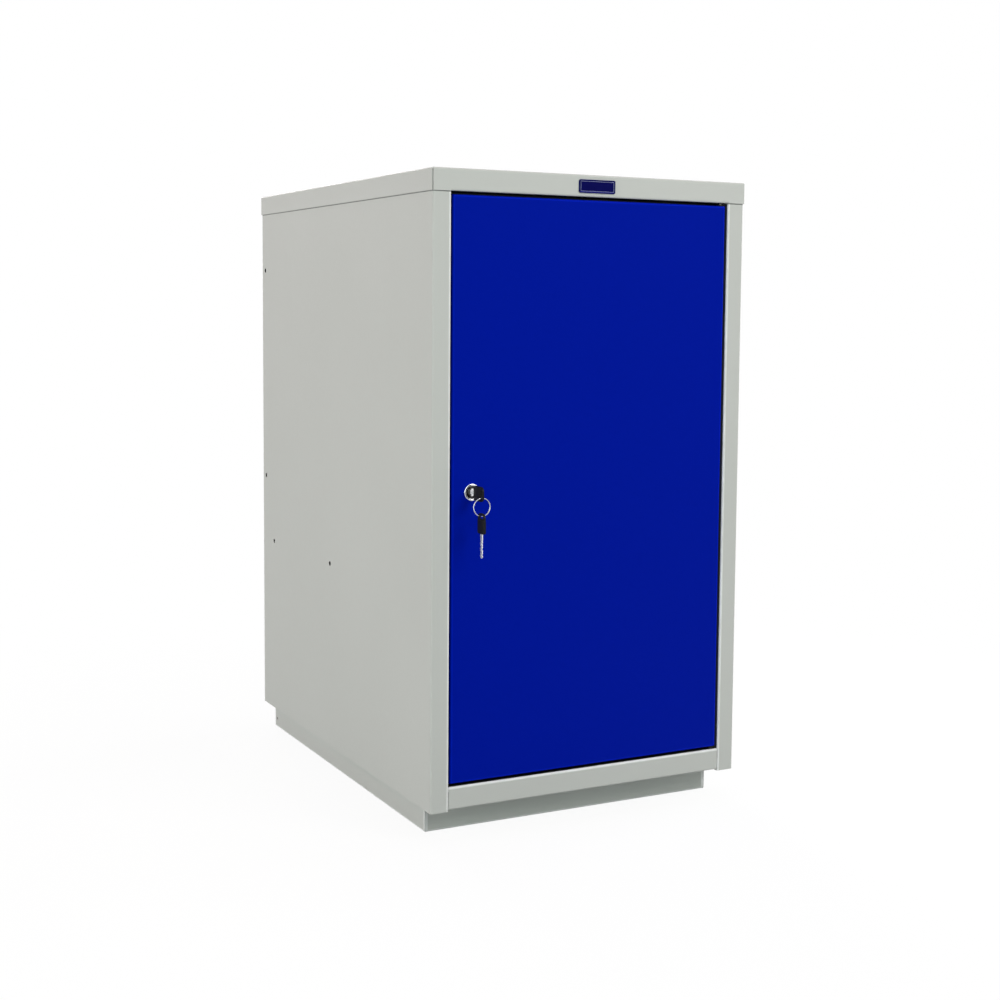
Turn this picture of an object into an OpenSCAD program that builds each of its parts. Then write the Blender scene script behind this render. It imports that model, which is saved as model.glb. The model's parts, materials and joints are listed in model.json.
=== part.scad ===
// A free-standing sheet-steel tool cabinet on a recessed plinth, with one inset locking door and two
// shelves that hook into slotted posts. Sizes are in millimetres. X runs to the right, Y to the back
// and Z up. The origin lies on the floor, under the middle of the overall box, which reaches from the
// keys in front of the door to the back of the cap.

/* [Cabinet] */
// Height from the floor to the top of the cap
cabinet_h = 790; // [740:5:900]
// Width over the side panels
body_w = 430; // [400:5:600]
// Depth over the side panels
body_d = 604; // [500:2:700]
// Thickness of the body's sheet
sheet_t = 1; // [0.8:0.1:1.2]
// Inside radius of the folds
fold_r = 1; // [0.6:0.1:1.2]
// Gap where two sheets meet edge to edge or slide over each other
seam = 0.2; // [0.1:0.05:0.3]

/* [Side panels] */
// Width of the stile beside the door, and of the flange at the back
stile_w = 23.4; // [21:0.2:30]
// Depth of the returns behind the stile and in front of the rear flange
return_d = 48; // [46:1:60]
// Width of the flanges under the cap and on the plinth
panel_flange_w = 30; // [28:1:40]
// Radius of the open holes in the panel
side_hole_r = 2.75; // [2:0.25:3.5]
// Distance of the two rear holes from the back
rear_holes_inset = 14; // [10:1:20]
// Height of the upper rear hole above the floor
rear_hole_high_z = 682.5; // [600:0.5:700]
// Height of the lower rear hole above the floor
rear_hole_low_z = 380.6; // [300:0.1:450]
// Height of the two level holes above the floor
level_holes_z = 286.7; // [200:0.1:300]
// Distance of the front level hole from the front
level_hole_front = 328; // [200:1:360]
// Distance of the rear level hole from the back
level_hole_back = 48.5; // [30:0.5:100]

/* [Shelf slots] */
// Distance from one slot to the next
slot_pitch = 25; // [20:1:40]
// Width of a slot
slot_w = 8; // [6:0.5:9]
// Height of a slot
slot_h = 3; // [2.6:0.2:4]
// Distance of the slots' middle from the cabinet's front and back
slot_inset = 36; // [36:0.5:40]
// Height of the lowest slot above the deck
first_slot_up = 20.7; // [12:0.1:60]

/* [Cap] */
// Height of the cap's skirt
cap_skirt_h = 26; // [22:0.2:35]
// Width of the open notch at the skirt's upright corners
cap_corner_gap = 1.5; // [1.3:0.1:2]
// Depth of the door stop that the cap's front lip turns down
door_stop_h = 12; // [10:0.5:20]

/* [Plinth] */
// Height of the plinth
plinth_h = 37; // [30:1:60]
// Thickness of the plinth's sheet
plinth_t = 1.5; // [1:0.1:2]
// Distance of the plinth from the side panels' outer faces
plinth_side_inset = 12.7; // [8:0.1:14]
// Distance of the plinth from the cabinet's front
plinth_front_inset = 44.9; // [20:0.1:80]
// Distance of the plinth from the cabinet's back
plinth_back_inset = 13.2; // [5:0.1:30]
// Width of the plinth rails' flanges
plinth_flange_w = 25; // [22:1:32]
// Radius of the open hole in each side rail
plinth_hole_r = 2; // [1.5:0.25:3]
// Distance of that hole from the plinth's back
plinth_hole_inset = 8.3; // [7:0.1:40]
// Height of that hole above the floor
plinth_hole_z = 12.6; // [8:0.1:20]
// Radius of the plinth bolts
bolt_r = 3; // [2.5:0.5:3]
// Distance of the plinth bolts from the cabinet's front and back
bolt_inset = 120; // [90:5:150]

/* [Deck] */
// Height of the deck's front rail
deck_rail_h = 27.2; // [20:0.2:35]
// Height of the rail's lower edge above the side panels' lower edge
deck_rail_up = 2.1; // [1:0.1:5]
// Gap between the rail and each stile
rail_gap = 0.8; // [0.2:0.1:1]
// Height of the deck's side flanges
deck_flange_h = 20; // [12:1:22]

/* [Back panel] */
// Depth of the back panel's flanges
back_flange_d = 18; // [14:1:20]
// Radius of the screws in the back panel's flanges
back_screw_r = 2.1; // [1.5:0.1:2.4]
// Screws on each side of the back panel
back_screw_count = 5; // [3:1:7]

/* [Shelves] */
// Height of the lower shelf's clips above the deck, taken to the nearest slot
lower_shelf_up = 195.7; // [100:0.1:280]
// Height of the upper shelf's clips above the deck, taken to the nearest slot
upper_shelf_up = 420.7; // [400:0.1:560]
// Height of a shelf's flanges
shelf_h = 25; // [20:1:35]
// Width of the lips under a shelf's side flanges
shelf_lip_w = 12; // [11:1:20]
// Gap between a shelf and the posts beside it
shelf_gap = 0.8; // [0.5:0.1:1]
// Length of a shelf clip's ledge
clip_ledge = 10; // [8:0.5:10]
// Width of a shelf clip
clip_w = 12; // [10:0.5:12]
// Thickness of a shelf clip
clip_t = 2; // [1.5:0.1:2]

/* [Door] */
// Thickness of the folded door
door_t = 18; // [16:0.5:18]
// Distance of the door's face behind the stiles' face
door_recess = 2; // [1:0.1:2]
// Gap between the door and each stile
door_side_gap = 2.75; // [2.6:0.05:4]
// Gap between the door and the deck
door_low_gap = 3.1; // [3:0.1:5]
// Gap between the door and the cap
door_top_gap = 3.7; // [3:0.1:6]
// Width of the door's return lips
door_lip_w = 12; // [8:1:14]
// Width of the stiffener behind the door's face
stiffener_w = 80; // [60:2:120]
// Depth of the stiffener
stiffener_d = 13; // [8:0.5:13]
// Thickness of the rubber buffers on the door stop
buffer_t = 1.6; // [1:0.1:1.8]

/* [Hinge] */
// Distance of the hinge line from the door's edge
hinge_edge = 4.5; // [4:0.1:4.5]
// Distance of the hinge line behind the door's face
hinge_back = 5; // [5:0.1:6]
// Radius of the hinge pins
pin_r = 2.5; // [2:0.1:2.5]
// Radial clearance between a pin and its bush
pin_play = 0.05; // [0.02:0.01:0.08]
// Radius of the washer and of the bushes' flanges
washer_r = 4.5; // [4:0.1:4.8]
// Thickness of the plates that carry the pins
hinge_plate_t = 3; // [2:0.5:4]

/* [Lock] */
// Distance of the lock from the door's edge
lock_edge = 25.65; // [22:0.05:30]
// Height of the lock above the floor
lock_z = 415.8; // [380:0.1:450]
// Radius of the bezel
bezel_r = 10; // [9.6:0.1:12]
// Width of the bezel's raised rim
bezel_rim_w = 2.3; // [1.6:0.1:2.3]
// Height of the rim in front of the door's face
bezel_h = 2.8; // [2.2:0.1:3.2]
// Radius of the housing's barrel
barrel_r = 8; // [7.5:0.1:8.5]
// Length of the barrel behind the door's face
barrel_len = 24; // [24:0.5:25]
// Radius of the plug that the key turns
plug_r = 4; // [3.9:0.1:4.4]
// Radial clearance between the plug and the housing
plug_play = 0.05; // [0.02:0.01:0.08]
// Length of the cam from the lock's middle to its tip
cam_len = 38; // [34:0.5:40]
// Width of the cam
cam_w = 14; // [12:0.5:16]
// Thickness of the cam
cam_t = 2; // [1.5:0.1:2]

/* [Keys] */
// Length of a key's blade
blade_len = 28.5; // [26:0.1:28.5]
// Width of a key's blade
blade_w = 4.8; // [4.4:0.1:5.2]
// Thickness of a key's blade
blade_t = 1.2; // [1:0.1:1.4]
// Length of a key's head
head_len = 24; // [23:0.1:26]
// Width of a key's head
head_w = 17.4; // [16:0.1:19]
// Thickness of a key's head at the grip
head_t = 2.8; // [2.4:0.1:3]
// Thickness of a key's head round the ring's hole
head_loop_t = 2; // [1.8:0.1:2.2]
// Distance of the key's head in front of the door's face
key_standout = 8.3; // [8.3:0.1:10]
// Mean radius of the key ring
ring_r = 10.5; // [10.5:0.1:12]
// Radius of the key ring's wire
wire_r = 0.45; // [0.35:0.05:0.45]

/* [Name plate] */
// Width of the blank name plate
plate_w = 50; // [30:1:60]
// Height of the name plate
plate_h = 16; // [10:0.5:17]
// Thickness of the name plate
plate_t = 1.5; // [1:0.1:2]
// Distance of the name plate to the right of the cabinet's middle
plate_shift = 0; // [-10:0.5:10]
// Height of the name plate above the cap's lower edge
plate_up = 4.3; // [3:0.1:5]

/* [Colours] */
// Colour of the body
body_colour = "#c6cac2"; // [#c6cac2, #d7d7d7, #8f979b]
// Colour of the door
door_colour = "#001894"; // [#001894, #1d4e9a, #a02128]
// Colour of the name plate
plate_colour = "#0a0a3c"; // [#0a0a3c, #202020]
// Colour of zinc-plated steel
zinc_colour = "#b4b6b4"; // [#b4b6b4, #c9c3a8]
// Colour of polished metal
chrome_colour = "#d8dadc"; // [#d8dadc, #c8c8c8]
// Colour of rubber and moulded plastic
black_colour = "#17171a"; // [#17171a, #303034]

/* [Hidden] */
$fn = 48;

// The front-to-back place of the body's front plane, so that the origin is under the overall box
fold_out = fold_r + sheet_t;
cap_over = seam + sheet_t;
head_hole_half = 5;
head_hole_r = 1.8;
head_hole_end = 4.3;
hole_up = head_len - head_hole_end;
ring_y = door_recess - key_standout - hole_up;
reach_front = head_w / 2 - ring_y;
front_y = (reach_front - body_d - cap_over) / 2;

// The body's planes
half_w = body_w / 2;
body_z = plinth_h;
under_cap = cabinet_h - sheet_t;
opening_half = half_w - stile_w;
deck_z = body_z + deck_rail_up + deck_rail_h;
skirt_z = cabinet_h - cap_skirt_h;
far_y = body_d - sheet_t / 2;
return_x = opening_half + sheet_t / 2;
wall_x = half_w - sheet_t / 2;
panel_flange_gap = 2;
post_gap = 0.5;
rail_foot_d = 15;

// Screws and bolts: a head's radius is a multiple of its thread's
head_ratio = 1.9;
screw_play = 0.05;
screw_head_t = 2.2;
back_screw_len = 8;
back_screw_end = 60;
back_screw_y = body_d - back_flange_d / 2;
bolt_play = 0.2;
bolt_head_h = 4;
bolt_len = 14;
nut_h = 5;

// Plinth: its bolts stand clear of the side rails' webs
plinth_half = half_w - plinth_side_inset;
plinth_low_y = plinth_front_inset;
plinth_high_y = body_d - plinth_back_inset;
plinth_fold = fold_r + plinth_t;
nut_gap = 1;
bolt_x = -(plinth_half - plinth_fold - nut_gap - bolt_r * head_ratio);

// Shelf slots, shelves and their clips
slot_count = floor((skirt_z - deck_z - first_slot_up - slot_pitch) / slot_pitch) + 1;
lower_slot = round((lower_shelf_up - first_slot_up) / slot_pitch);
upper_slot = round((upper_shelf_up - first_slot_up) / slot_pitch);
shelf_w = 2 * (opening_half - shelf_gap);
shelf_front = slot_inset - clip_w / 2;
shelf_back_gap = 3;
back_front = body_d - back_flange_d;
shelf_d = back_front - shelf_back_gap - shelf_front;
prong_play = 0.2;
clip_tail_h = 8;
clip_front_t = 1.5;

// Door, its stop and its hinge
door_half = opening_half - door_side_gap;
door_low = deck_z + door_low_gap;
door_top = skirt_z - door_top_gap;
door_h = door_top - door_low;
door_back = door_recess + door_t;
buffer_gap = 0.4;
buffer_w = 12;
buffer_up = 0.5;
buffer_places = [-0.75, 0, 0.6];
cap_lip_d = door_back + buffer_gap + buffer_t + sheet_t;
stiffener_end = 25;
stiffener_foot = 15;
hinge_x = door_half - hinge_edge;
hinge_y = door_recess + hinge_back;
washer_t = 1;
bush_wall = 0.9;
bush_len = 6;
bush_play = 0.02;
top_bush_flange_t = 1.5;
pin_head_r = 4;
pin_head_t = 2;
pin_reach = 12;
pin_tip = 1;
pin_tip_cut = 0.6;
hinge_plate_w = 25;
hinge_plate_d = 13;
hinge_plate_gap = 1.2;

// Lock
lock_x = lock_edge - door_half;
flat_half = barrel_r - 1;
barrel_play = 0.1;
rim_round = 0.6;
plug_seat = 0.9;
plug_head_t = bezel_h - plug_seat - 0.1;
plug_head_over = 0.4;
plug_end = 0.2;
square_w = 5.4;
wafer_count = 5;
wafer_t = 1;
wafer_w = 4.4;
wafer_pitch = 3.2;
first_wafer = 4.5;
slide_play = 0.1;
keyway_depth = blade_len - key_standout + 0.4;
lock_washer_t = 1;
lock_washer_over = 1;
lock_nut_h = 4;
lock_nut_over = 2.4;
cam_gap = 0.3;
cam_y = door_recess + barrel_len + cam_gap;
cam_back = barrel_len + cam_gap + cam_t;
cam_washer_r = 5.5;
cam_washer_t = 1;
cam_screw_r = 2;
cam_screw_len = 4.5;
cam_head_r = 4;
cam_head_t = 2.4;
driver_slot_w = 1;
driver_slot_d = 1;
strike_play = 1.2;

// Keys: the wire rests a little above the end of the hole in the upper key's head
tang_len = 12;
tang_w = 3.8;
grip_len = 15.5;
head_round_low = 3;
head_round_high = 6;
cut_depths = [1.5, 0.7, 1.7, 1, 1.6, 0.8];
cut_r = 2;
first_cut = 4;
tip_cut = 1.6;
groove_w = 0.8;
groove_d = 0.3;
groove_off = 0.6;
hole_wire_play = 0.35;
spare_wire_play = 0.5;
wire_overlap = 0.03;
ring_drop = head_hole_half - hole_wire_play - wire_r + ring_r;
spare_z = lock_z - ring_drop - ring_r + wire_r + spare_wire_play - head_hole_r - hole_up;

// Name plate
plate_round = 2;
plate_rim_w = 1;
plate_sink = 0.4;

// Places a piece whose depth is measured from the body's front plane
module from_front() translate([0, front_y, 0]) children();

// Makes the left-hand piece, or its mirror image on the right
module on_side(side) {
    if (side < 0) children();
    else mirror([1, 0, 0]) children();
}

// Repeats a piece on both sides
module on_both_sides() for (side = [-1, 1]) on_side(side) children();

// Extrudes a section drawn in depth and height along the width, about the middle
module across(length) rotate([90, 0, 90]) linear_extrude(length, center = true) children();

// Extrudes a section drawn in width and height towards the back
module backwards(length) translate([0, length, 0]) rotate([90, 0, 0]) linear_extrude(length) children();

// Turns a piece that is built towards +Z so that it points out of the door, at the lock's middle
module in_lock() from_front() translate([lock_x, door_recess, lock_z]) rotate([90, 0, 0]) children();

// Quarter of a disc, towards the given signs of X and Y
module quarter(r, sx, sy) intersection() {
    circle(r);
    translate([sx < 0 ? -r : 0, sy < 0 ? -r : 0]) square(r);
}

// Section of a folded sheet: the path holds the corners of the sheet's middle line
module folded(path, t) {
    bend = fold_r + t / 2;
    last = len(path) - 1;
    for (i = [0 : last - 1]) {
        ahead = (path[i + 1] - path[i]) / norm(path[i + 1] - path[i]);
        start = path[i] + ahead * (i == 0 ? 0 : bend);
        end = path[i + 1] - ahead * (i == last - 1 ? 0 : bend);
        translate(start) rotate(atan2(ahead.y, ahead.x)) translate([0, -t / 2]) square([norm(end - start), t]);
    }
    for (i = [1 : last - 1]) {
        back = (path[i - 1] - path[i]) / norm(path[i - 1] - path[i]);
        ahead = (path[i + 1] - path[i]) / norm(path[i + 1] - path[i]);
        out = -(back + ahead);
        translate(path[i] - out * bend) difference() {
            quarter(bend + t / 2, out.x, out.y);
            circle(bend - t / 2);
        }
    }
}

// Rectangle from the origin with its two upper corners rounded
module rounded_top(w, h, r) {
    square([w, h - r]);
    translate([r, h - r]) square([w - 2 * r, r]);
    translate([r, h - r]) quarter(r, -1, 1);
    translate([w - r, h - r]) quarter(r, 1, 1);
}

// Rectangle about the origin's Y axis with rounded corners, r_low at the bottom and r_high at the top
module rounded_sheet(w, h, r_low, r_high) {
    translate([-w / 2, r_low]) rounded_top(w, h - r_low, r_high);
    translate([r_low - w / 2, 0]) square([w - 2 * r_low, r_low]);
    translate([r_low - w / 2, r_low]) quarter(r_low, -1, -1);
    translate([w / 2 - r_low, r_low]) quarter(r_low, 1, -1);
}

// Block from the origin whose four upper edges are rounded
module soft_block(size, r) intersection() {
    translate([size.x / 2, 0, 0]) across(size.x) rounded_top(size.y, size.z, r);
    backwards(size.y) rounded_top(size.x, size.z, r);
}

// Tray folded from one sheet, open below
module tray(size, t) difference() {
    soft_block(size, fold_r + t);
    translate([t, t, -1]) soft_block([size.x - 2 * t, size.y - 2 * t, size.z - t + 1], fold_r);
}

// Height of a shelf slot's middle
function slot_z(i) = deck_z + first_slot_up + i * slot_pitch;

// Height at which a shelf's lips rest on its clips
function shelf_seat(i) = slot_z(i) + clip_t / 2;

// Heights of the screws in the back panel's flanges
function back_screw_z(i) =
    body_z + back_screw_end + i * (under_cap - body_z - 2 * back_screw_end) / (back_screw_count - 1);

// Depths of the plinth bolts from the front
function bolt_ys() = [bolt_inset, body_d - bolt_inset];

// A hole through a sheet that stands across X, from one millimetre before the sheet to one behind it
module cross_hole(x, y, z, r) translate([x - 1, y, z]) rotate([0, 90, 0]) cylinder(h = sheet_t + 2, r = r);

// The sheet of the left side panel: wall, stile, rear flange, their returns, and flanges for the cap and the
// plinth, with its upper edges rounded to fit inside the cap's folds
module side_sheet() intersection() {
    flange_y = return_d + panel_flange_gap;
    translate([-half_w, 0, 0]) soft_block([body_w, body_d, under_cap], fold_r);
    union() {
        translate([0, 0, body_z]) linear_extrude(under_cap - body_z) folded([
            [-return_x, return_d], [-return_x, sheet_t / 2], [-wall_x, sheet_t / 2],
            [-wall_x, far_y], [-return_x, far_y], [-return_x, body_d - return_d]
        ], sheet_t);
        for (z = [body_z, under_cap - sheet_t])
            translate([-wall_x, flange_y, z]) cube([panel_flange_w, body_d - 2 * flange_y, sheet_t]);
    }
}

// The left side panel, or its mirror image, with its slots and holes
module side_panel(side) color(body_colour) from_front() on_side(side) difference() {
    side_sheet();
    for (i = [0 : slot_count - 1], y = [slot_inset, body_d - slot_inset])
        translate([-return_x - 1, y - slot_w / 2, slot_z(i) - slot_h / 2]) cube([2, slot_w, slot_h]);
    side_holes();
    for (i = [0 : back_screw_count - 1])
        cross_hole(-opening_half - sheet_t, back_screw_y, back_screw_z(i), back_screw_r + screw_play);
    for (y = bolt_ys())
        translate([bolt_x, y, body_z - 1]) cylinder(h = sheet_t + 2, r = bolt_r + bolt_play);
    if (side < 0) strike_slot();
}

// The open holes in the left panel's wall
module side_holes() {
    rear_y = body_d - rear_holes_inset;
    cross_hole(-half_w, rear_y, rear_hole_high_z, side_hole_r);
    cross_hole(-half_w, rear_y, rear_hole_low_z, side_hole_r);
    cross_hole(-half_w, level_hole_front, level_holes_z, side_hole_r);
    cross_hole(-half_w, body_d - level_hole_back, level_holes_z, side_hole_r);
}

// The slot in the left post that the lock's cam swings into
module strike_slot() {
    reach = lock_x + return_x + sheet_t / 2;
    drop = sqrt(cam_len * cam_len - reach * reach) + cam_w / 2;
    translate([-return_x - 1, cam_y - strike_play, lock_z - drop - strike_play])
        cube([2, cam_t + 2 * strike_play, drop + cam_w / 2 + 2 * strike_play]);
}

module side_panel_left() side_panel(-1);

module side_panel_right() side_panel(1);

// The back panel: a shallow tray between the rear posts, open to the inside
module back_panel() color(body_colour) from_front() difference() {
    low = body_z + deck_rail_up;
    size = [2 * (opening_half - seam), under_cap - seam - low, back_flange_d];
    translate([-size.x / 2, back_front, low + size.y]) rotate([-90, 0, 0]) tray(size, sheet_t);
    on_both_sides() for (i = [0 : back_screw_count - 1])
        cross_hole(seam - opening_half, back_screw_y, back_screw_z(i), back_screw_r + screw_play);
}

// Screws from the inside through the back panel's flanges into the posts
module back_panel_screws() color(zinc_colour) from_front() on_both_sides()
    for (i = [0 : back_screw_count - 1])
        translate([-opening_half + seam + sheet_t, back_screw_y, back_screw_z(i)]) rotate([0, 90, 0]) {
            cylinder(h = screw_head_t, r = back_screw_r * head_ratio);
            translate([0, 0, -back_screw_len]) cylinder(h = back_screw_len + 0.1, r = back_screw_r);
        }

// The cap: a tray over the side panels, whose front skirt turns in above the door and down as its stop
module top_cap() color(body_colour) from_front() difference() {
    size = [body_w + 2 * cap_over, body_d + 2 * cap_over, cap_skirt_h];
    lip_w = 2 * (opening_half - seam);
    skirt_y = sheet_t / 2 - cap_over;
    stop_y = cap_lip_d - sheet_t / 2;
    union() {
        difference() {
            translate([-size.x / 2, -cap_over, skirt_z]) tray(size, sheet_t);
            translate([-lip_w / 2, -cap_over - 1, skirt_z - 1]) cube([lip_w, sheet_t + 1.5, fold_out + 2]);
        }
        across(lip_w) folded([
            [skirt_y, skirt_z + fold_out + 1], [skirt_y, skirt_z + sheet_t / 2],
            [stop_y, skirt_z + sheet_t / 2], [stop_y, skirt_z + sheet_t - door_stop_h]
        ], sheet_t);
    }
    on_both_sides() for (y = [-cap_over - 1, body_d + cap_over - cap_corner_gap])
        translate([-size.x / 2 - 1, y, skirt_z - 1])
            cube([cap_corner_gap + 1, cap_corner_gap + 1, cap_skirt_h + 2]);
    translate([hinge_x, hinge_y, skirt_z - 1]) cylinder(h = sheet_t + 2, r = pin_r + pin_play);
}

// The deck: the cabinet's floor, with the bottom rail folded down in front and a flange on each side
module bottom_deck() color(body_colour) from_front() difference() {
    front_w = 2 * (opening_half - rail_gap);
    back_w = 2 * (opening_half - 2 * seam - sheet_t);
    full_w = 2 * (half_w - sheet_t - seam);
    rail_low = deck_z - deck_rail_h;
    wide_y = return_d + post_gap;
    wide_d = body_d - 2 * wide_y;
    union() {
        across(front_w) folded([
            [rail_foot_d, rail_low + sheet_t / 2], [sheet_t / 2, rail_low + sheet_t / 2],
            [sheet_t / 2, deck_z - sheet_t / 2], [wide_y + 1, deck_z - sheet_t / 2]
        ], sheet_t);
        translate([-full_w / 2, wide_y, deck_z - sheet_t]) cube([full_w, wide_d, sheet_t]);
        translate([-back_w / 2, wide_y + wide_d - 1, deck_z - sheet_t])
            cube([back_w, body_d - fold_out - wide_y - wide_d + 1, sheet_t]);
        on_both_sides() translate([-full_w / 2, wide_y, deck_z - deck_flange_h])
            cube([sheet_t, wide_d, deck_flange_h]);
    }
    translate([hinge_x, hinge_y, deck_z - 2]) cylinder(h = 3, r = pin_r + pin_play);
}

// Section of a plinth rail, drawn with its web at the left and its flanges to the right
module plinth_section() {
    web = plinth_t / 2;
    folded([
        [plinth_flange_w, plinth_h - web], [web, plinth_h - web], [web, web], [plinth_flange_w, web]
    ], plinth_t);
}

// A side rail of the plinth, coped at its ends for the front and back rails
module plinth_side_rail(side) color(body_colour) from_front() on_side(side) difference() {
    cope = plinth_fold + seam;
    translate([-plinth_half, plinth_low_y, 0]) backwards(plinth_high_y - plinth_low_y) plinth_section();
    for (y = [plinth_low_y - 1, plinth_high_y - cope])
        translate([-plinth_half + plinth_t, y, -1]) cube([plinth_flange_w, cope + 1, plinth_h + 2]);
    translate([-plinth_half - 1, plinth_high_y - plinth_hole_inset, plinth_hole_z]) rotate([0, 90, 0])
        cylinder(h = plinth_t + 2, r = plinth_hole_r);
    for (y = bolt_ys())
        translate([bolt_x, y, plinth_h - plinth_t - 1]) cylinder(h = plinth_t + 2, r = bolt_r + bolt_play);
}

module plinth_left_rail() plinth_side_rail(-1);

module plinth_right_rail() plinth_side_rail(1);

// A rail between the side rails, built towards the back from its web at Y = 0
module plinth_end_rail() difference() {
    across(2 * (plinth_half - plinth_t - seam)) plinth_section();
    on_both_sides() translate([-plinth_half - 1, plinth_fold, -1])
        cube([plinth_flange_w + seam + 1, plinth_flange_w, plinth_h + 2]);
}

module plinth_front_rail() color(body_colour) from_front() translate([0, plinth_low_y, 0]) plinth_end_rail();

module plinth_back_rail() color(body_colour) from_front()
    translate([0, plinth_high_y, 0]) mirror([0, 1, 0]) plinth_end_rail();

// Bolts through the side panels' lower flanges and the plinth's upper flanges
module plinth_bolts() color(zinc_colour) from_front() on_both_sides() for (y = bolt_ys())
    translate([bolt_x, y, body_z + sheet_t]) {
        cylinder(h = bolt_head_h, r = bolt_r * head_ratio, $fn = 6);
        translate([0, 0, -bolt_len]) cylinder(h = bolt_len + 0.1, r = bolt_r);
    }

// Nuts under the plinth's upper flanges
module plinth_nuts() color(zinc_colour) from_front() on_both_sides() for (y = bolt_ys())
    translate([bolt_x, y, plinth_h - plinth_t - nut_h]) difference() {
        cylinder(h = nut_h, r = bolt_r * head_ratio, $fn = 6);
        translate([0, 0, -1]) cylinder(h = nut_h + 2, r = bolt_r + screw_play);
    }

// A shelf: a tray with lips under its side flanges, from its seat at Z = 0
module shelf(seat) color(body_colour) from_front() translate([0, shelf_front, seat]) {
    translate([-shelf_w / 2, 0, 0]) tray([shelf_w, shelf_d, shelf_h], sheet_t);
    on_both_sides() translate([-shelf_w / 2 + sheet_t / 2, fold_out, 0])
        cube([shelf_lip_w, shelf_d - 2 * fold_out, sheet_t]);
}

module shelf_upper() shelf(shelf_seat(upper_slot));

module shelf_lower() shelf(shelf_seat(lower_slot));

// Shelf clip: a ledge, a prong through the slot, and a tail on each side of the post's sheet
module shelf_clip() {
    prong_w = slot_w - 2 * prong_play;
    prong_len = sheet_t + prong_play + clip_t;
    translate([0, -clip_w / 2, -clip_t / 2]) cube([clip_ledge, clip_w, clip_t]);
    translate([0, -clip_w / 2, -clip_tail_h]) cube([clip_front_t, clip_w, clip_tail_h]);
    translate([-prong_len, -prong_w / 2, -clip_t / 2]) cube([prong_len + 0.1, prong_w, clip_t]);
    translate([-prong_len, -prong_w / 2, -clip_tail_h]) cube([clip_t, prong_w, clip_tail_h]);
}

// Four clips at one height
module shelf_clips(height) color(zinc_colour) from_front() on_both_sides()
    for (y = [slot_inset, body_d - slot_inset]) translate([-opening_half, y, height]) shelf_clip();

module shelf_clips_upper() shelf_clips(slot_z(upper_slot));

module shelf_clips_lower() shelf_clips(slot_z(lower_slot));

// Plate that carries a hinge pin, about the hinge line, from Z = 0
module hinge_plate() difference() {
    translate([opening_half - hinge_plate_gap - hinge_plate_w, fold_out + seam, 0])
        cube([hinge_plate_w, hinge_plate_d, hinge_plate_t]);
    translate([hinge_x, hinge_y, -1]) cylinder(h = hinge_plate_t + 2, r = pin_r + pin_play);
}

module hinge_plate_top() color(body_colour) from_front() translate([0, 0, skirt_z + sheet_t]) hinge_plate();

module hinge_plate_bottom() color(body_colour) from_front()
    translate([0, 0, deck_z - sheet_t - hinge_plate_t]) hinge_plate();

// A headed pin from the plate's far face to its tip inside the door, with its head at Z = 0
module hinge_pin(length) {
    shank = length - pin_tip;
    cylinder(h = pin_head_t, r = pin_head_r);
    translate([0, 0, pin_head_t - 0.1]) cylinder(h = shank + 0.1, r = pin_r);
    translate([0, 0, pin_head_t + shank]) cylinder(h = pin_tip, r1 = pin_r, r2 = pin_r - pin_tip_cut);
}

module hinge_pin_bottom() color(zinc_colour) from_front()
    translate([hinge_x, hinge_y, deck_z - sheet_t - hinge_plate_t - pin_head_t])
    hinge_pin(hinge_plate_t + sheet_t + door_low_gap + pin_reach);

module hinge_pin_top() color(zinc_colour) from_front()
    translate([hinge_x, hinge_y, skirt_z + sheet_t + hinge_plate_t + pin_head_t]) mirror([0, 0, 1])
    hinge_pin(hinge_plate_t + sheet_t + door_top_gap + pin_reach);

module hinge_washer() color(zinc_colour) from_front() translate([hinge_x, hinge_y, deck_z]) difference() {
    cylinder(h = washer_t, r = washer_r);
    translate([0, 0, -1]) cylinder(h = washer_t + 2, r = pin_r + pin_play);
}

// Flanged bush with its flange below Z = 0 and its barrel in the door's flange above
module hinge_bush(flange_t) difference() {
    union() {
        translate([0, 0, -flange_t]) cylinder(h = flange_t, r = washer_r);
        translate([0, 0, -0.1]) cylinder(h = bush_len + 0.1, r = pin_r + bush_wall);
    }
    translate([0, 0, -flange_t - 1]) cylinder(h = flange_t + bush_len + 2, r = pin_r + pin_play);
}

module hinge_bush_bottom() color(black_colour) from_front() translate([hinge_x, hinge_y, door_low])
    hinge_bush(door_low_gap - washer_t - seam);

module hinge_bush_top() color(black_colour) from_front()
    translate([hinge_x, hinge_y, door_top]) mirror([0, 0, 1]) hinge_bush(top_bush_flange_t);

// Rubber buffers on the front of the door stop
module door_buffers() color(black_colour) from_front() for (x = buffer_places * door_half)
    translate([x - buffer_w / 2, cap_lip_d - sheet_t - buffer_t, skirt_z + sheet_t - door_stop_h + buffer_up])
        cube([buffer_w, buffer_t, door_stop_h - fold_out - 2 * buffer_up]);

// Blank name plate with rounded corners and a low rim
module name_plate() color(plate_colour) from_front()
    translate([plate_shift, -cap_over, skirt_z + plate_up]) rotate([90, 0, 0]) difference() {
        inner_r = plate_round - plate_rim_w + 0.2;
        linear_extrude(plate_t) rounded_sheet(plate_w, plate_h, plate_round, plate_round);
        translate([0, plate_rim_w, plate_t - plate_sink]) linear_extrude(1)
            rounded_sheet(plate_w - 2 * plate_rim_w, plate_h - 2 * plate_rim_w, inner_r, inner_r);
    }

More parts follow.
